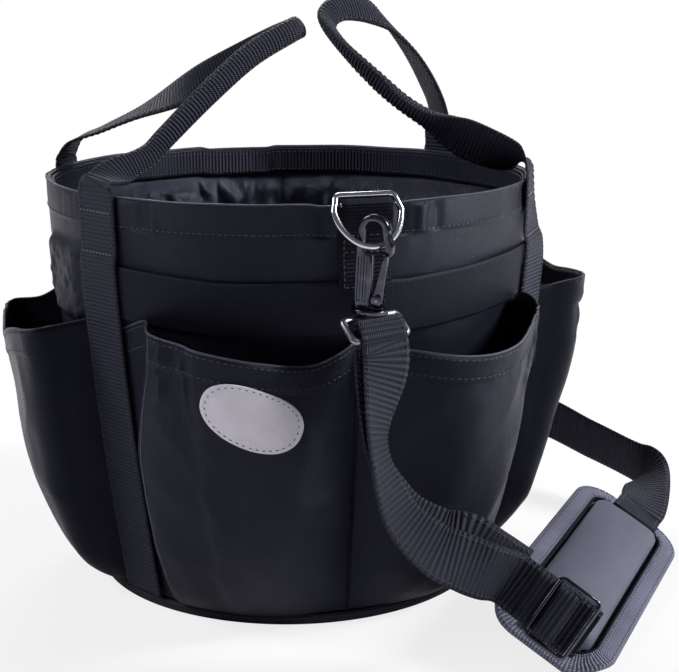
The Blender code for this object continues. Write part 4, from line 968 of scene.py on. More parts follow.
def makePatch(paints):
    turns = [turnCircle * k / 72 for k in range(72)]
    thick = patchLook["thick"]
    rings = [(1.0, 0.0001), (1.0, thick * 0.6), (0.985, thick), (0.96, thick * 1.05), (0.90, thick * 0.9),
             (0.84, thick), (0.7, thick * 1.05), (0.5, thick * 1.05), (0.3, thick), (0.1, thick),
             (0.001, thick)]
    rows = [[patchPoint(t, size, lift + gap) for t in turns] for size, lift in rings]
    patch = sheetPiece("bareOvalPatch", rows, paints["patch"])
    uv = patch.data.uv_layers[0].data
    co = [v.co for v in patch.data.vertices]
    for loop in patch.data.loops:
        p = co[loop.vertex_index]
        uv[loop.index].uv = (math.atan2(p.y, p.x) * patchLook["radius"], p.z)
    settle(patch, "bag", "oval_patch", slot="patch_cloth")
    border = Stitches()
    line = [turnCircle * k / 160 for k in range(161)]
    points = [patchPoint(t, patchLook["border"], thick + gap) for t in line]
    normals = [Vector((p.x, p.y, 0.1 * p.length)).normalized() for p in points]
    border.line(points, normals, *stitchSizes["patch"])
    settle(border.piece("patchStitches", paints["borderThread"]), "bag", slot="patch_cloth")


# handles: one webbing each, from the base up the wall, over the loop and down again

handleLook = {"axisX": 0.1325, "rootY": 0.0765, "rootZ": 0.2607, "rootHalf": 0.0148, "halfwayHalf": 0.0156,
              "ribPitch": 0.0024, "ribDepth": 0.14, "leanAt": -30.0, "lean": 15.0,
              "strapHeights": (0.2135, 0.2165, 0.2195, 0.2225, 0.2260, 0.2330, 0.2420, 0.2550),
              "bendLow": 0.2545, "bendHigh": 0.268, "edgeStitch": 0.86, "gripStitch": 0.80,
              "gripFrom": 0.285, "tackHeights": (0.2220, 0.2460)}

# each stop is a place, the way across, half width, half thickness and squareness
leftHandle = (
    ((-0.1300, -0.0760, 0.2636), (0.50, -0.86, -0.05), 0.0132, 0.0011, 13),
    ((-0.1238, -0.0725, 0.2652), (0.54, -0.75, -0.38), 0.0112, 0.0014, 9),
    ((-0.1134, -0.0640, 0.2680), (0.45, -0.25, -0.86), 0.0082, 0.0028, 5),
    ((-0.0984, -0.0530, 0.2735), (0.46, -0.12, -0.87), 0.0068, 0.0038, 3),
    ((-0.0864, -0.0455, 0.2835), (0.48, 0.00, -0.86), 0.0066, 0.0042, 2.6),
    ((-0.0584, -0.0345, 0.3074), (0.48, 0.10, -0.86), 0.0072, 0.0042, 2.6),
    ((-0.0293, -0.0215, 0.3288), (0.52, 0.00, -0.85), 0.0075, 0.0042, 2.6),
    ((-0.0009, -0.0090, 0.3425), (0.52, 0.00, -0.85), 0.0073, 0.0040, 2.6),
    ((0.0062, 0.0030, 0.3440), (0.52, 0.00, -0.85), 0.0073, 0.0040, 2.6),
    ((-0.0060, 0.0160, 0.3370), (0.52, -0.20, -0.80), 0.0078, 0.0036, 3),
    ((-0.0365, 0.0345, 0.3172), (0.42, -0.60, -0.55), 0.0110, 0.0024, 5),
    ((-0.0606, 0.0470, 0.3028), (0.20, -0.85, -0.30), 0.0145, 0.0012, 9),
    ((-0.0850, 0.0590, 0.2900), (0.00, -0.95, -0.05), 0.0158, 0.0010, 12),
    ((-0.1090, 0.0690, 0.2785), (-0.12, -0.97, 0.00), 0.0160, 0.0009, 14),
    ((-0.1250, 0.0750, 0.2715), (-0.40, -0.90, -0.05), 0.0160, 0.0009, 14),
)

rightHandle = (
    ((0.1296, -0.0755, 0.2650), (0.50, 0.85, -0.10), 0.0150, 0.0009, 14),
    ((0.1232, -0.0732, 0.2672), (0.24, 0.70, -0.58), 0.0155, 0.0009, 14),
    ((0.1100, -0.0685, 0.2722), (0.10, 0.62, -0.76), 0.0160, 0.0009, 14),
    ((0.0960, -0.0615, 0.2785), (-0.05, 0.66, -0.74), 0.0158, 0.0010, 13),
    ((0.0865, -0.0568, 0.2832), (-0.05, 0.66, -0.74), 0.0125, 0.0015, 9),
    ((0.0745, -0.0508, 0.2903), (0.20, 0.55, -0.79), 0.0070, 0.0038, 3.5),
    ((0.0594, -0.0430, 0.3012), (0.38, 0.36, -0.82), 0.0060, 0.0044, 2.8),
    ((0.0435, -0.0320, 0.3169), (0.55, 0.20, -0.80), 0.0090, 0.0034, 3.5),
    ((0.0290, -0.0175, 0.3345), (0.62, 0.05, -0.78), 0.0080, 0.0036, 3),
    ((0.0245, -0.0020, 0.3480), (0.66, 0.00, -0.75), 0.0078, 0.0036, 3),
    ((0.0350, 0.0085, 0.3555), (0.60, -0.15, -0.78), 0.0085, 0.0034, 3),
    ((0.0520, 0.0175, 0.3555), (0.50, -0.35, -0.79), 0.0100, 0.0028, 4),
    ((0.0700, 0.0280, 0.3500), (0.42, -0.60, -0.68), 0.0130, 0.0016, 8),
    ((0.0881, 0.0410, 0.3361), (0.35, -0.80, -0.48), 0.0155, 0.0010, 12),
    ((0.1047, 0.0520, 0.3189), (0.22, -0.92, -0.30), 0.0160, 0.0009, 14),
    ((0.1185, 0.0620, 0.2999), (0.12, -0.97, -0.15), 0.0160, 0.0009, 14),
    ((0.1285, 0.0710, 0.2815), (0.05, -1.00, -0.05), 0.0160, 0.0009, 14),
    ((0.1318, 0.0755, 0.2680), (0.40, -0.90, 0.00), 0.0160, 0.0009, 14),
)


def flatStop(centre, across, half=webHalf):
    return (centre, across, half, webThick / 2, 0.0)


def roundnessOf(squareness):
    return float(np.interp(squareness, (2.6, 3, 4, 5, 8, 12, 14), (1.0, 0.92, 0.72, 0.55, 0.22, 0.04, 0.0)))


def strapStandoff(z):
    return 0.0004 + (bagSize["strapStandoff"] - 0.0004) * ease((bagSize["bandHigh"] + 0.0105 - z) / 0.008)


def leanShare(z):
    return ease(min(max((z - 0.100) / 0.070, 0.0), 1.0) * min(max((bagSize["height"] - z) / 0.055, 0.0), 1.0))


def wallStrapStops(degrees, acrossY):
    # from the base up to the handle's hinge line. The side pocket pushes one strap's edge out.
    outward, along = polar(1.0, degrees, 0.0), polar(1.0, degrees + 90.0, 0.0)
    along = along * (1.0 if along.y > 0 else -1.0)
    fullLean = math.radians(handleLook["lean"]) if degrees == handleLook["leanAt"] else 0.0
    stops = []
    for z in [0.0082 + 0.0065 * k for k in range(32)] + list(handleLook["strapHeights"]):
        lean = fullLean * leanShare(z)
        middle = wallRadius(z) + strapStandoff(z) + webThick / 2 + webHalf * math.sin(lean)
        across = (along * math.cos(lean) + outward * math.sin(lean)) * acrossY
        stops.append(flatStop(outward * middle + Vector((0, 0, z)), across))
    root = Vector((math.copysign(handleLook["axisX"], outward.x),
                   math.copysign(handleLook["rootY"], outward.y), handleLook["rootZ"]))
    halfway = stops[-1][0].lerp(root, 0.5) + Vector((0, 0, 0.0006))
    stops.append(flatStop(halfway, along * acrossY, handleLook["halfwayHalf"]))
    stops.append(flatStop(root, along * acrossY, handleLook["rootHalf"]))
    return stops


def edgeLine(frames, place, first=0.0, last=1e9, side=1.0):
    # a line along a ribbon's face at a share of its half width, with the face's normals
    points, normals = [], []
    for centre, across, up, (halfWidth, halfThick, roundness), reach in frames:
        if first <= reach <= last:
            flatSpot = across * place * halfWidth + up * side * halfThick
            turn = math.asin(min(max(place, -0.99), 0.99))
            roundSpot = across * halfWidth * math.sin(turn) + up * side * halfThick * math.cos(turn)
            out = (up * side).lerp((across * math.sin(turn) + up * side * math.cos(turn)), roundness)
            points.append(centre + flatSpot.lerp(roundSpot, roundness))
            normals.append(out.normalized())
    return points, normals


def stitchAcross(thread, oneFrame, side, half, reach, stitch):
    # a row of stitches across a ribbon's face
    centre, across, up, size, _ = oneFrame
    row = [centre + across * half * x + up * side * size[1] for x in np.linspace(-reach, reach, 9)]
    thread.line(row, [up * side] * 9, *stitch)


def makeHandles(paints):
    table = {"left": (leftHandle, -1.0, -150.0, 150.0), "right": (rightHandle, 1.0, -30.0, 30.0)}
    for hand, (loop, sign, frontAngle, rearAngle) in table.items():
        startY, endY = math.copysign(1.0, loop[0][1][1]), math.copysign(1.0, loop[-1][1][1])
        front, rear = wallStrapStops(frontAngle, startY), wallStrapStops(rearAngle, endY)
        stops = list(front)
        for point, across, halfWidth, halfThick, squareness in loop:
            stops.append((point, across, halfWidth, halfThick, roundnessOf(squareness)))
        stops += list(reversed(rear))
        node = "handle_" + hand
        piece, frames = webPiece(node + "_webbing", stops, paints["grip"], handleLook["ribPitch"],
                                 handleLook["ribDepth"], (0, 0, 1), (0, 0, -1))
        low, high = [(sign * handleLook["axisX"], 0.0, handleLook[key]) for key in ("bendLow", "bendHigh")]
        settleBend(piece, hand + "_handle", low, high, node, "strap_front_" + hand, "strap_rear_" + hand,
                   slot=node + "_web")
        total = frames[-1][4]
        thread, tacks = Stitches(), Stitches()
        outSide = frames[4][2].dot(Vector((frames[4][0].x, frames[4][0].y, 0)))
        side = 1.0 if outSide > 0 else -1.0
        edge, gripFrom = handleLook["edgeStitch"], handleLook["gripFrom"]
        for place in (-edge, edge):
            thread.line(*edgeLine(frames, place, 0.0, total, side), *stitchSizes["handle"])
        seam = edgeLine(frames, handleLook["gripStitch"], gripFrom, total - gripFrom, -side)
        thread.line(*seam, *stitchSizes["grip"])
        for goal in handleLook["tackHeights"]:
            for near in (0.0, 1.0):
                spot = min(frames, key=lambda f: abs(f[0].z - goal) + abs(f[4] / total - near) * 0.5)
                stitchAcross(tacks, spot, side, webHalf, edge, stitchSizes["tack"])
        for name, sewn, paint in (("_tacks", tacks, "tack"), ("_stitches", thread, "thread")):
            row = sewn.piece(node + name, paints[paint])
            settleBend(row, hand + "_handle", low, high, slot=node + "_web")
        print("handle", hand)


# rings, snap hooks and swivel eyes

ringLook = {"wire": 0.0018, "bar": 0.0016, "barHalf": 0.0149, "halfWidth": 0.0193, "drop": 0.0248,
            "top": 0.0056, "corner": 0.0030, "reach": 0.0142, "tilt": 32.0, "axisY": -0.1560, "axisZ": 0.2553,
            "tabLow": 0.2090, "tabHigh": 0.2400, "tabWeb": 0.0014, "tabHalf": 0.0146,
            "tabRibs": (0.0022, 0.08), "tabStitch": 0.84, "tabSewn": 0.031}
ringTurn = {"front": 0.7, "rear": 180.0}
rearShift = {"front": (0.0, 0.0), "rear": (0.0035, 0.0080)}  # out and down
hookLook = {"spot": (-0.0014, -0.1666, 0.2005), "turn": -40.0, "lean": 3.5, "thick": 0.0052, "flange": 0.0102,
            "flangeDeep": 0.0022, "archCentre": 0.0423, "archOuter": 0.0092, "archInner": 0.0050,
            "shankInner": 0.0006, "shankTop": 0.0304, "pivot": (0.0044, 0.0052), "gateThick": 0.0040,
            "pin": 0.00075, "edge": 0.0014, "gateEdge": 0.0009, "grooves": (-0.0064, -0.0031),
            "groove": 0.0010}
eyeLook = {"wire": 0.0018, "cast": 0.0021, "halfWidth": 0.0202, "drop": 0.0140, "corner": 0.0022,
           "turn": 20.0, "lean": 50.0}
sharpFrom = math.radians(40)


def sideMatrix(side):
    out, down = rearShift[side]
    return turnBy(ringTurn[side], "Z") @ Matrix.Translation((0, -out, -down))


def arc(centre, radius, start, end, steps):
    turns = [math.radians(start + (end - start) * k / steps) for k in range(steps + 1)]
    return [(centre[0] + radius * math.cos(t), centre[1] + radius * math.sin(t)) for t in turns]


# a rounded outline's corners: the side in x and in y, and where the bend starts, in degrees
roundCorners = ((1, 1, 0), (-1, 1, 90), (-1, -1, 180), (1, -1, 270))


def polyCurve(name, dimensions, points, bevel, rounds):
    curve = bpy.data.curves.new(name, "CURVE")
    curve.dimensions = dimensions
    curve.bevel_depth = bevel
    curve.bevel_resolution = rounds
    line = curve.splines.new("POLY")
    line.points.add(len(points) - 1)
    for spot, point in zip(line.points, points):
        spot.co = (*point, 1.0)
    line.use_cyclic_u = True
    return curve


def curveMesh(name, curve):
    item = bpy.data.objects.new(name + "Curve", curve)
    bpy.context.scene.collection.objects.link(item)
    mesh = baked(item)
    bpy.data.objects.remove(item, do_unlink=True)
    mesh.shade_smooth()
    return mesh


def wireMesh(name, points, radius):
    return curveMesh(name, polyCurve(name, "3D", points, radius, 6))


def plateMesh(name, outline, thickness, edge):
    # a flat plate with rounded edges, standing up
    curve = polyCurve(name, "2D", [(u, w, 0.0) for u, w in softened(outline)], edge, 4)
    curve.fill_mode = "BOTH"
    curve.extrude = thickness / 2 - edge
    curve.offset = -edge
    mesh = curveMesh(name, curve)
    mesh.transform(turnBy(90, "X"))
    bm = bmesh.new()
    bm.from_mesh(mesh)
    bmesh.ops.remove_doubles(bm, verts=bm.verts, dist=0.000004)
    bmesh.ops.recalc_face_normals(bm, faces=bm.faces)
    bm.to_mesh(mesh)
    bm.free()
    return mesh


def softened(outline):
    # cut each corner once, so that the outline is smoother
    cut = []
    for (ax, ay), (bx, by) in zip(outline, outline[1:] + outline[:1]):
        cut += [(ax * (1 - f) + bx * f, ay * (1 - f) + by * f) for f in (0.25, 0.75)]
    return cut


def rodMesh(name, start, end, radius, steps=32, edge=0.0):
    start, end = Vector(start), Vector(end)
    bm = bmesh.new()
    bmesh.ops.create_cone(bm, cap_ends=True, segments=steps, radius1=radius, radius2=radius,
                          depth=(end - start).length)
    if edge:
        rims = [e for e in bm.edges if abs(e.verts[0].co.z - e.verts[1].co.z) < 1e-7]
        bmesh.ops.bevel(bm, geom=rims, offset=edge, segments=3, affect="EDGES", profile=0.5)
    turn = (end - start).to_track_quat("Z", "Y").to_matrix().to_4x4()
    bmesh.ops.transform(bm, verts=bm.verts, matrix=Matrix.Translation((start + end) / 2) @ turn)
    mesh = bpy.data.meshes.new(name)
    bm.to_mesh(mesh)
    bm.free()
    mesh.shade_smooth()
    return mesh


def putMesh(name, mesh, matrix, paint):
    mesh.transform(matrix)
    mesh.set_sharp_from_angle(angle=sharpFrom)
    return newObject(name, mesh, paint)


def carve(piece, mesh, matrix, operation):
    tool = newObject(piece.name + operation, mesh, piece.data.materials[0])
    tool.data.transform(matrix)
    step = piece.modifiers.new(operation, "BOOLEAN")
    step.operation = operation
    step.solver = "EXACT"
    step.object = tool
    result = workIn(piece)
    result.shade_smooth()
    result.set_sharp_from_angle(angle=sharpFrom)
    bpy.data.objects.remove(tool, do_unlink=True)


def joined(name, meshes):
    bm = bmesh.new()
    for mesh in meshes:
        bm.from_mesh(mesh)
    whole = bpy.data.meshes.new(name)
    bm.to_mesh(whole)
    bm.free()
    return whole


def ringOutline():
    corner, reach = ringLook["corner"], ringLook["reach"]
    points = [(reach + x, z) for x, z in arc((0.0, ringLook["top"] - corner), corner, 90, 0, 8)]
    for k in range(41):
        turn = math.radians(-9 - 162 * k / 40)
        points.append((ringLook["halfWidth"] * math.cos(turn), ringLook["drop"] * math.sin(turn)))
    return points + [(x - reach, z) for x, z in arc((0.0, ringLook["top"] - corner), corner, 180, 90, 8)]


def makeRing(side, paints):
    swing = turnBy(-ringLook["tilt"], "X")
    place = sideMatrix(side) @ Matrix.Translation((0, ringLook["axisY"], ringLook["axisZ"]))
    points = [swing @ Vector((x, 0, z)) for x, z in ringOutline()]
    wire = wireMesh("wire", points, ringLook["wire"])
    ring = putMesh(side + "_ring_wire", wire, place, paints["brightMetal"])
    settle(ring, side + "_ring", side + "_ring", slot=side + "_ring_metal")
    half = ringLook["barHalf"]
    rod = rodMesh("bar", (-half, 0, 0), (half, 0, 0), ringLook["bar"], 32, 0.0004)
    bar = putMesh(side + "_inner_bar", rod, place, paints["brightMetal"])
    settle(bar, side + "_ring", side + "_ring_bar", slot=side + "_bar_metal")


def makeTab(side, paints):
    radius = ringLook["bar"] + gap + ringLook["tabWeb"] / 2
    half = ringLook["tabWeb"] / 2
    out, down = rearShift[side]
    heights = (ringLook["tabLow"] - down, 0.2120, 0.2150, 0.2190, 0.2240, 0.2280, ringLook["tabHigh"] - down)
    back = [(-(wallRadius(z) + strapStandoff(z) + half), z) for z in heights]
    front = [(y - ringLook["tabWeb"] - gap, z) for y, z in reversed(back)]
    loop = arc((ringLook["axisY"] - out, ringLook["axisZ"] - down), radius, -30, 210, 12)
    turned = turnBy(ringTurn[side], "Z")
    stops = [(turned @ Vector((0, y, z)), turned @ Vector((1, 0, 0)), ringLook["tabHalf"], half, 0.0)
             for y, z in back + loop + front]
    tab, frames = webPiece(side + "_tab_webbing", stops, paints["web"], *ringLook["tabRibs"])
    settle(tab, "bag", side + "_ring_tab", slot=side + "_tab_web")
    thread = Stitches()
    face = [f for f in frames if f[4] > frames[-1][4] - ringLook["tabSewn"]]
    outward = 1.0 if face[0][2].dot(turned @ Vector((0, -1, 0))) > 0 else -1.0
    edge, stitch = ringLook["tabStitch"], stitchSizes["tab"]
    for place in (-edge, edge):
        thread.line(*edgeLine(face, place, side=outward), *stitch)
    for index in (2, len(face) // 3, -3):
        stitchAcross(thread, face[index], outward, ringLook["tabHalf"], edge, stitch)
    settle(thread.piece(side + "_tab_stitches", paints["thread"]), "bag", slot=side + "_tab_web")


def hookOutline():
    crown = (0.0, hookLook["archCentre"])
    inner, top = hookLook["shankInner"], hookLook["shankTop"]
    points = [(-0.0084, -0.0012), (0.0080, -0.0012), (0.0080, 0.0016), (inner + 0.0008, 0.0016)]
    points += [(inner, 0.0024), (inner, top - 0.0014), (inner - 0.0016, top)]
    points += [(-0.0036, top + 0.0008), (-hookLook["archInner"], top + 0.0034)]
    points += arc(crown, hookLook["archInner"], 180, 0, 18)
    points += [(0.0053, 0.0395), (0.0063, 0.0370), (0.0068, 0.0350), (0.0068, 0.0313), (0.0093, 0.0313)]
    points += [(0.0093, 0.0300), (0.0098, 0.0292), (0.0108, 0.0292), (0.0116, 0.0304), (0.0118, 0.0345)]
    points += [(0.0110, 0.0375), (0.0097, 0.0400)]
    points += arc(crown, hookLook["archOuter"], 0, 180, 24)
    return points + [(-hookLook["archOuter"], 0.0060)]


def gateOutline():
    points = arc(hookLook["pivot"], 0.0030, 165, 365, 16)
    return points + [(0.0082, 0.0160), (0.0090, 0.0270), (0.0090, 0.0301), (0.0086, 0.0306), (0.0066, 0.0306),
                     (0.0062, 0.0300), (0.0036, 0.0160)]


def hookFrame(side):
    turn = turnBy(hookLook["turn"], "Z") @ turnBy(hookLook["lean"], "Y")
    return sideMatrix(side) @ Matrix.Translation(hookLook["spot"]) @ turn


def makeHook(side, paints):
    place = hookFrame(side)
    u, w = hookLook["pivot"]
    thick, gateThick = hookLook["thick"], hookLook["gateThick"]
    plate = plateMesh("hook", hookOutline(), thick, hookLook["edge"])
    hook = putMesh(side + "_hook_body", plate, place, paints["metal"])
    low = (0, 0, -hookLook["flangeDeep"])
    carve(hook, rodMesh("flange", low, (0, 0, 0.0004), hookLook["flange"], 56, 0.0006), place, "UNION")
    near = gateThick / 2 + gap
    half = near + 0.0010
    ears = [rodMesh("ear", (u, y * near, w), (u, y * half, w), 0.0032, 32, 0.0002) for y in (-1, 1)]
    carve(hook, joined("ears", ears), place, "UNION")
    grooves = [rodMesh("groove", (x, y * thick / 2, 0.0036), (x, y * thick / 2, 0.0278),
                       hookLook["groove"], 16) for x in hookLook["grooves"] for y in (-1, 1)]
    carve(hook, joined("grooves", grooves), place, "DIFFERENCE")
    settle(hook, side + "_hook", side + "_snap_hook", slot=side + "_snap_hook_metal")
    plate = plateMesh("gate", gateOutline(), gateThick, hookLook["gateEdge"])
    gate = putMesh(side + "_gate_body", plate, place, paints["metal"])
    settle(gate, side + "_gate", side + "_snap_gate", slot=side + "_snap_gate_metal")
    rod = rodMesh("pin", (u, -half, w), (u, half, w), hookLook["pin"], 24, 0.0002)
    pin = putMesh(side + "_pin", rod, place, paints["brightMetal"])
    settle(pin, side + "_hook", side + "_gate_pin", slot=side + "_pin_metal")
    dressNode(side + "_gate_spring", paints["brightMetal"])


def eyeFrame(side):
    below = hookLook["flangeDeep"] + 0.0012 + eyeLook["wire"]
    level = turnBy(-hookLook["lean"], "Y") @ turnBy(eyeLook["turn"] - hookLook["turn"], "Z")
    return hookFrame(side) @ Matrix.Translation((0, 0, -below)) @ level


def makeEye(side, paints):
    corner, wire = eyeLook["corner"], eyeLook["wire"]
    lean = turnBy(-eyeLook["lean"], "X")
    points = []
    for cx, cz, start in ((1, 0, 90), (1, 1, 0), (-1, 1, -90), (-1, 0, -180)):
        for k in range(9):
            turn = math.radians(start - 90 * k / 8)
            x = cx * (eyeLook["halfWidth"] - wire - corner) + corner * math.cos(turn)
            z = (-corner if cz == 0 else -(eyeLook["drop"] - corner)) + corner * math.sin(turn)
            points.append(lean @ Vector((x, 0, z)))
    loop = wireMesh("eye", points, eyeLook["cast"])
    eye = putMesh(side + "_eye_wire", loop, eyeFrame(side), paints["castMetal"])
    carve(eye, rodMesh("stem", (0, 0, -0.0002), (0, 0, 0.0043), 0.0020, 28), eyeFrame(side), "UNION")
    settle(eye, side + "_ring", side + "_swivel_eye", slot=side + "_swivel_eye_metal")


def eyeBar(side):
    place = eyeFrame(side)
    centre = place @ turnBy(-eyeLook["lean"], "X") @ Vector((0, 0, -eyeLook["drop"]))
    return centre, place.to_3x3() @ Vector((1, 0, 0))


# shoulder strap

strapLook = {"turnHalf": 0.0156, "tail": 0.0150, "sliderHalf": (0.0125, 0.0182), "wire": 0.0015,
             "bar": 0.0012, "height": 0.0048, "corner": 0.0030, "bow": 0.0012, "loopHalf": 0.0152,
             "ribPitch": 0.0030, "ribDepth": 0.35, "loose": 0.0100, "stitch": 0.84,
             "frontBend": (0.150, 0.170), "rearBend": (0.142, 0.162)}
sliderCentre = Vector((0.0922, -0.2273, 0.0350))
sliderRun = Vector((0.660, -0.564, -0.495)).normalized()
sliderAcross = squared(Vector((0.593, -0.009, 0.806)), sliderRun)

# the outer web's place and way across, and how far the inner one is shifted and lies behind
strapFall = (
    ((-0.0028, -0.1925, 0.1338), (0.55, 0.83, 0.00), 0.0080, 0.0050),
    ((0.0058, -0.2012, 0.0971), (0.65, 0.70, 0.25), 0.0110, 0.0050),
    ((0.0233, -0.2090, 0.0763), (0.70, 0.52, 0.49), 0.0120, 0.0045),
    ((0.0401, -0.2120, 0.0670), (0.68, 0.30, 0.66), 0.0120, 0.0050),
    ((0.0543, -0.2125, 0.0600), (0.63, 0.12, 0.77), 0.0080, 0.0056),
)


def shoulderWeb(name, stops, paints, firstRun=None, lastRun=None):
    ribs = strapLook["ribPitch"], strapLook["ribDepth"]
    return webPiece(name, stops, paints["strap"], *ribs, firstRun, lastRun)


def turnStops(side):
    centre, along = eyeBar(side)
    outward = Vector((along.y, -along.x, 0.0)).normalized()
    radius = eyeLook["wire"] + 2 * gap + webThick / 2
    drop = Vector((0, 0, strapLook["tail"]))
    front, back = centre + outward * 0.0040 - drop, centre - outward * 0.0036 - drop
    stops = [flatStop(front, along, strapLook["turnHalf"])]
    for k in range(13):
        turn = math.radians(-30 + 20 * k)
        rise = math.sin(turn) * (strapLook["loose"] if math.sin(turn) > 0 else radius)
        spot = centre + outward * (radius * math.cos(turn) - 0.3 * max(rise, 0.0)) + Vector((0, 0, rise))
        stops.append(flatStop(spot, along, strapLook["turnHalf"]))
    stops.append(flatStop(back, along, strapLook["turnHalf"]))
    return stops, front


def settleStrap(side, piece, frames, paints, front, slot, *nodes):
    # the strap and the stitches along its edges, on both faces, are baked in place, and the nodes it replaces
    # are hidden
    low, high = [(front.x, front.y, z) for z in strapLook[side + "Bend"]]
    settleBend(piece, side + "_ring", low, high, *nodes, slot=slot)
    thread = Stitches()
    for place in (-strapLook["stitch"], strapLook["stitch"]):
        for face in (1.0, -1.0):
            thread.line(*edgeLine(frames, place, side=face), *stitchSizes["strap"])
    seam = thread.piece(side + "_strap_stitches", paints["thread"])
    settleBend(seam, side + "_ring", low, high, slot=slot)


def makeFrontStrap(paints):
    turn, front = turnStops("front")
    outer, inner = [], []
    spots = [front] + [Vector(stop[0]) for stop in strapFall] + [sliderCentre - sliderRun * 0.036]
    for k, (centre, side, shift, behind) in enumerate(strapFall):
        run = (spots[k + 2] - spots[k]).normalized()
        side = squared(Vector(side), run)
        outer.append(flatStop(Vector(centre), side))
        inner.append(flatStop(Vector(centre) + side * shift - run.cross(side) * behind, side))
    for reach in (-0.036, -0.024, -0.012, 0.0, 0.010, 0.0165):
        half = webHalf if reach < 0.016 else 0.0150
        outer.append(flatStop(sliderCentre + sliderRun * reach, sliderAcross, half))
    up = sliderRun.cross(sliderAcross).normalized()
    last = sliderCentre - sliderRun * 0.034 - up * 0.0066 + sliderAcross * 0.004
    inner.append(flatStop(last, sliderAcross))
    stops = list(reversed(outer)) + turn + inner
    piece, frames = shoulderWeb("front_strap_webbing", stops, paints, tuple(-sliderRun))
    settleStrap("front", piece, frames, paints, front, "front_outer_web",
                "front_strap_outer", "front_strap_inner", "front_strap_turn")


def padFrame():
    along = Vector((0.661, 0.750, 0.021)).normalized()
    across = squared(Vector((-0.659, 0.563, 0.4945)), along)
    turn = Matrix((along, across, along.cross(across))).transposed().to_4x4()
    return Matrix.Translation((0.1516, -0.1495, 0.0265)) @ turn


padLook = {"length": 0.190, "further": 0.0080, "sag": 0.0110, "sagFrom": -0.080, "width": 0.076,
           "corner": 0.023, "edge": 0.0018, "tape": 0.0120, "crown": 0.0099, "piping": 0.0008}


def makeRearStrap(paints):
    turn, front = turnStops("rear")
    place = padFrame()
    side = place.to_3x3() @ Vector((0, -1, 0))
    lie = padLook["edge"] + gap + webThick / 2
    half = padLook["length"] / 2
    stops = [flatStop(place @ Vector((half - 0.0120, -0.003, lie)), side),
             flatStop(place @ Vector((half + 0.0020, -0.003, lie)), side),
             flatStop(place @ Vector((half + 0.0120, -0.003, lie + 0.001)),
                      side + Vector((0.08, -0.04, 0.15))),
             flatStop((0.2400, -0.0500, 0.0335), (0.78, -0.62, 0.09)),
             flatStop((0.2520, -0.0300, 0.0345), (0.66, -0.50, 0.50)),
             flatStop((0.2580, -0.0170, 0.0350), (0.25, -0.20, 0.95)),
             flatStop((0.2550, -0.0040, 0.0362), (-0.10, -0.08, 1.00)),
             flatStop((0.2390, 0.0340, 0.0425), (-0.10, -0.08, 0.99)),
             flatStop((0.2100, 0.0850, 0.0530), (0.0, -0.05, 1.0)),
             flatStop((0.1700, 0.1350, 0.0430), (0.05, -0.05, 1.0)),
             flatStop((0.1200, 0.1750, 0.0470), (0.20, -0.10, 0.97)),
             flatStop((0.0750, 0.1930, 0.0700), (0.55, -0.15, 0.82)),
             flatStop((0.0380, 0.1990, 0.1000), (0.80, -0.05, 0.55)),
             flatStop((0.0100, 0.1955, 0.1320), (0.93, 0.20, 0.20))]
    stops += [(spot, -along, *size) for spot, along, *size in turn]
    piece, frames = shoulderWeb("rear_strap_webbing", stops, paints, None, (0, 0, -1))
    settleStrap("rear", piece, frames, paints, front, "rear_strap_web", "rear_strap", "rear_strap_turn")


def makeSlider(paints):
    place = Matrix.Translation(sliderCentre) @ Matrix(
        (sliderRun, sliderAcross, sliderRun.cross(sliderAcross))).transposed().to_4x4()
    long, wide = strapLook["sliderHalf"]
    height, corner = strapLook["height"], strapLook["corner"]
    points = []
    for sx, sy, start in roundCorners:
        middle = (sx * (long - corner), sy * (wide - corner))
        points += [(x, y, height) for x, y in arc(middle, corner, start, start + 90, 8)]
        if sy == (1 if sx == 1 else -1):
            for k in range(1, 12):
                reach = sx * (long - corner) * (1 - 2 * k / 12)
                points.append((reach, sy * wide, height + strapLook["bow"] * math.sin(math.pi * k / 12)))
    metal = putMesh("slider_wire", wireMesh("slider", points, strapLook["wire"]), place, paints["metal"])
    carve(metal, rodMesh("bar", (0, -wide, height), (0, wide, height), strapLook["bar"], 28), place, "UNION")
    settle(metal, "strap_slider", "slider_frame", slot="slider_metal")
    radius = strapLook["bar"] + gap + webThick / 2
    path = [(-0.0220, height - radius), (-0.0140, height - radius), (-0.0060, height - radius)]
    path += [(x, z + height) for x, z in arc((0.0, 0.0), radius, -90, 90, 10)]
    path += [(-0.0045, height + radius), (-0.0090, height + radius)]
    side = place.to_3x3() @ Vector((0, 1, 0))
    stops = [flatStop(place @ Vector((x, 0, z)), side, strapLook["loopHalf"]) for x, z in path]
    loop, _ = shoulderWeb("slider_loop", stops, paints)
    settle(loop, "strap_slider", "slider_strap_end", slot="slider_web")


def padSpot(place, x, y, z):
    # the front end droops under the strap that crosses it
    droop = ease((padLook["sagFrom"] - x) / 0.021) * ease((y + 0.040) / 0.022)
    return place @ Vector((x, y, z - padLook["sag"] * droop))


def padLine(inset, steps=12, straight=8):
    # a rounded rectangle with extra points along its straight sides
    # its front end, at the slider, reaches further than the other
    halfLong, halfWide = padLook["length"] / 2 - inset, padLook["width"] / 2 - inset
    corner = max(padLook["corner"] - inset, 0.0035)
    corners = []
    for sx, sy, start in roundCorners:
        reach = halfLong + (padLook["further"] if sx < 0 else 0.0)
        middle = (sx * (reach - corner), sy * (halfWide - corner))
        corners.append(arc(middle, corner, start, start + 90, steps))
    points = []
    for index, bend in enumerate(corners):
        points += bend
        (ax, ay), (bx, by) = bend[-1], corners[(index + 1) % 4][0]
        count = straight * 3 if index in (0, 2) else straight
        points += [(ax + (bx - ax) * k / count, ay + (by - ay) * k / count) for k in range(1, count)]
    return points


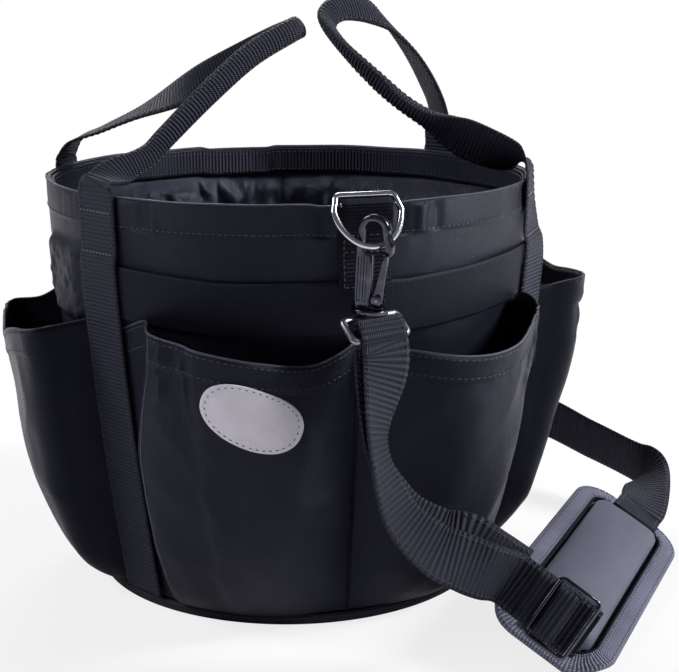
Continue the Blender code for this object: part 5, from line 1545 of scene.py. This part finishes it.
def makePad(paints):
    place = padFrame()
    edge, tape = padLook["edge"], padLook["tape"]
    # a tape folded round the edge, a little puckered between its stitches
    profile = [(tape, edge - 0.0002), (tape - 0.0006, edge), (tape * 0.5, edge + 0.0002), (0.0010, edge),
               (0.0003, edge * 0.6), (0.0, 0.0), (0.0003, -edge * 0.6), (0.0010, -edge), (tape * 0.5, -edge),
               (tape - 0.0006, -edge), (tape, -edge + 0.0002)]
    rows = []
    for inset, z in profile + profile[:1]:
        rows.append([padSpot(place, x, y, z + 0.00010 * ripple(x * 240, y * 240, z * 900))
                     for x, y in padLine(inset)])
    settle(sheetPiece("pad_tape", rows, paints["padTape"]), "bag", "pad_binding", slot="pad_tape")
    profile = ((0.0, -0.0006), (0.0, -edge), (0.006, -edge - 0.0003), (0.012, -edge - 0.0003),
               (0.018, -edge - 0.0002), (0.0255, -edge))
    back = [[padSpot(place, x, y, z) for x, y in padLine(tape + gap + shrink)] for shrink, z in profile]
    settle(sheetPiece("pad_back", back, paints["cloth"]), "bag", "pad_backing", slot="pad_back_cloth")
    cushion = makeCushion(paints, place)
    settle(cushion, "bag", "pad_cushion", slot="pad_cloth")
    groove = [padSpot(place, x, y, edge - 0.0004) for x, y in padLine(tape + 0.0002)]
    settle(beadPiece("pad_piping", groove, padLook["piping"], paints["web"], True), "bag", slot="pad_tape")
    thread = Stitches()
    for inset in (tape - 0.0016, 0.0024):
        line = padLine(inset) + padLine(inset)[:1]
        points = [padSpot(place, x, y, edge + 0.0001) for x, y in line]
        thread.line(points, [place.to_3x3() @ Vector((0, 0, 1))] * len(points), *stitchSizes["pad"])
    settle(thread.piece("pad_stitches", paints["thread"]), "bag", slot="pad_tape")
    side = place.to_3x3() @ Vector((0, 1, 0))
    lie = edge + gap + webThick / 2
    half = padLook["length"] / 2
    stops = [flatStop(place @ Vector((-half + reach, 0.0, -lie - drop)), side)
             for reach, drop in ((0.0150, 0.0), (0.0100, 0.0), (0.0050, 0.0), (-0.0010, 0.0006))]
    web, _ = shoulderWeb("pad_front_strap", stops, paints)
    settle(web, "bag", "pad_front_web", slot="pad_front_webbing")


cushionLook = {"steps": 20, "pressure": 3.0, "voxel": 0.0045, "start": 0.9, "floor": -0.0003,
               "sewnUnder": 0.0012, "farthest": 0.0028, "quality": 6, "tension": 12, "bending": 0.6}


def makeCushion(paints, place):
    # start from a slightly flat pillow, let the pressure puff it up, and hold what lies near its seam
    inner = padLook["tape"] + gap
    profile = ((0.0, -0.0003), (0.0, 0.0010), (0.0012, 0.0034), (0.0045, 0.0058), (0.0100, 0.0073),
               (0.0165, 0.0081), (0.0215, 0.0084))
    rings = [[Vector((x, y, z * cushionLook["start"])) for x, y in padLine(inner + inset)]
             for inset, z in profile]
    mesh = gridMesh("cushionStart", rings, True)
    bm = bmesh.new()
    bm.from_mesh(mesh)
    wide = len(rings[0])
    bm.verts.ensure_lookup_table()
    bm.faces.new([bm.verts[k] for k in reversed(range(wide))])
    bm.faces.new([bm.verts[(len(rings) - 1) * wide + k] for k in range(wide)])
    bmesh.ops.triangulate(bm, faces=bm.faces)
    bm.to_mesh(mesh)
    bm.free()
    piece = newObject("pad_cushion_cloth", mesh, paints["padTop"])
    puffUp(piece)
    bpy.context.view_layer.update()
    floor, top = cushionLook["floor"], padLook["crown"]
    halfLong, halfWide = padLook["length"] / 2 - inner, padLook["width"] / 2 - inner
    for vertex in piece.data.vertices:
        x, y, z = vertex.co
        x, y = min(max(x, -halfLong - padLook["further"]), halfLong), min(max(y, -halfWide), halfWide)
        wrinkle = 0.0
        if z > 0.0025:
            near = math.exp(-((x + halfLong * 0.80) / 0.020) ** 2)
            wrinkle = 0.00045 * near * math.sin(y * 700 + 5 * ripple(x * 60, y * 90, 1.0))
            wrinkle += 0.00030 * ripple(x * 45, y * 75, 2.0)
        vertex.co = (x, y, min(max(z + wrinkle, floor), top))
    flat = [vertex.co.copy() for vertex in piece.data.vertices]
    for vertex, spot in zip(piece.data.vertices, flat):
        vertex.co = padSpot(place, *spot)
    piece.data.shade_smooth()
    uv = piece.data.uv_layers[0] if piece.data.uv_layers else piece.data.uv_layers.new(name="UVMap")
    for loop in piece.data.loops:
        uv.data[loop.index].uv = flat[loop.vertex_index].xy
    return piece


def puffUp(piece):
    remesh = piece.modifiers.new("evenCloth", "REMESH")
    remesh.mode = "VOXEL"
    remesh.voxel_size = cushionLook["voxel"]
    even = workIn(piece)
    start = [v.co.copy() for v in even.vertices]
    hold = piece.vertex_groups.new(name="sewnEdge")
    for vertex in even.vertices:
        if vertex.co.z < cushionLook["sewnUnder"]:
            hold.add([vertex.index], 1.0, "REPLACE")
    cloth = piece.modifiers.new("cloth", "CLOTH")
    cloth.settings.use_pressure = True
    cloth.settings.uniform_pressure_force = cushionLook["pressure"]
    cloth.settings.vertex_group_mass = "sewnEdge"
    cloth.settings.quality = cushionLook["quality"]
    cloth.settings.tension_stiffness = cushionLook["tension"]
    cloth.settings.bending_stiffness = cushionLook["bending"]
    cloth.settings.effector_weights.gravity = 0
    scene = bpy.context.scene
    for number in range(1, cushionLook["steps"] + 1):
        scene.frame_set(number)
    puffed = workIn(piece)
    for vertex, before in zip(puffed.vertices, start):
        move = vertex.co - before
        if move.length > cushionLook["farthest"]:
            vertex.co = before + move.normalized() * cushionLook["farthest"]
    fine = piece.modifiers.new("fine", "SUBSURF")
    fine.levels = fine.render_levels = 1
    done = workIn(piece)
    scene.frame_set(1)
    print("cushion puffed:", len(done.vertices), "points")


def build():
    makeCamera()
    makeStage()
    paints = makePaints()
    seams = Stitches()
    makeShell(paints, seams)
    makeBands(paints, seams)
    makeBase(paints)
    print("body done")
    makePockets(paints, seams)
    settle(seams.piece("bodyStitches", paints["thread"]), "bag", slot="body_cloth")
    makePatch(paints)
    makeHandles(paints)
    for side in ("front", "rear"):
        makeRing(side, paints)
        makeTab(side, paints)
        makeHook(side, paints)
        makeEye(side, paints)
    print("hardware done")
    makeFrontStrap(paints)
    makeRearStrap(paints)
    makeSlider(paints)
    makePad(paints)
    print("straps and pad done")


build()
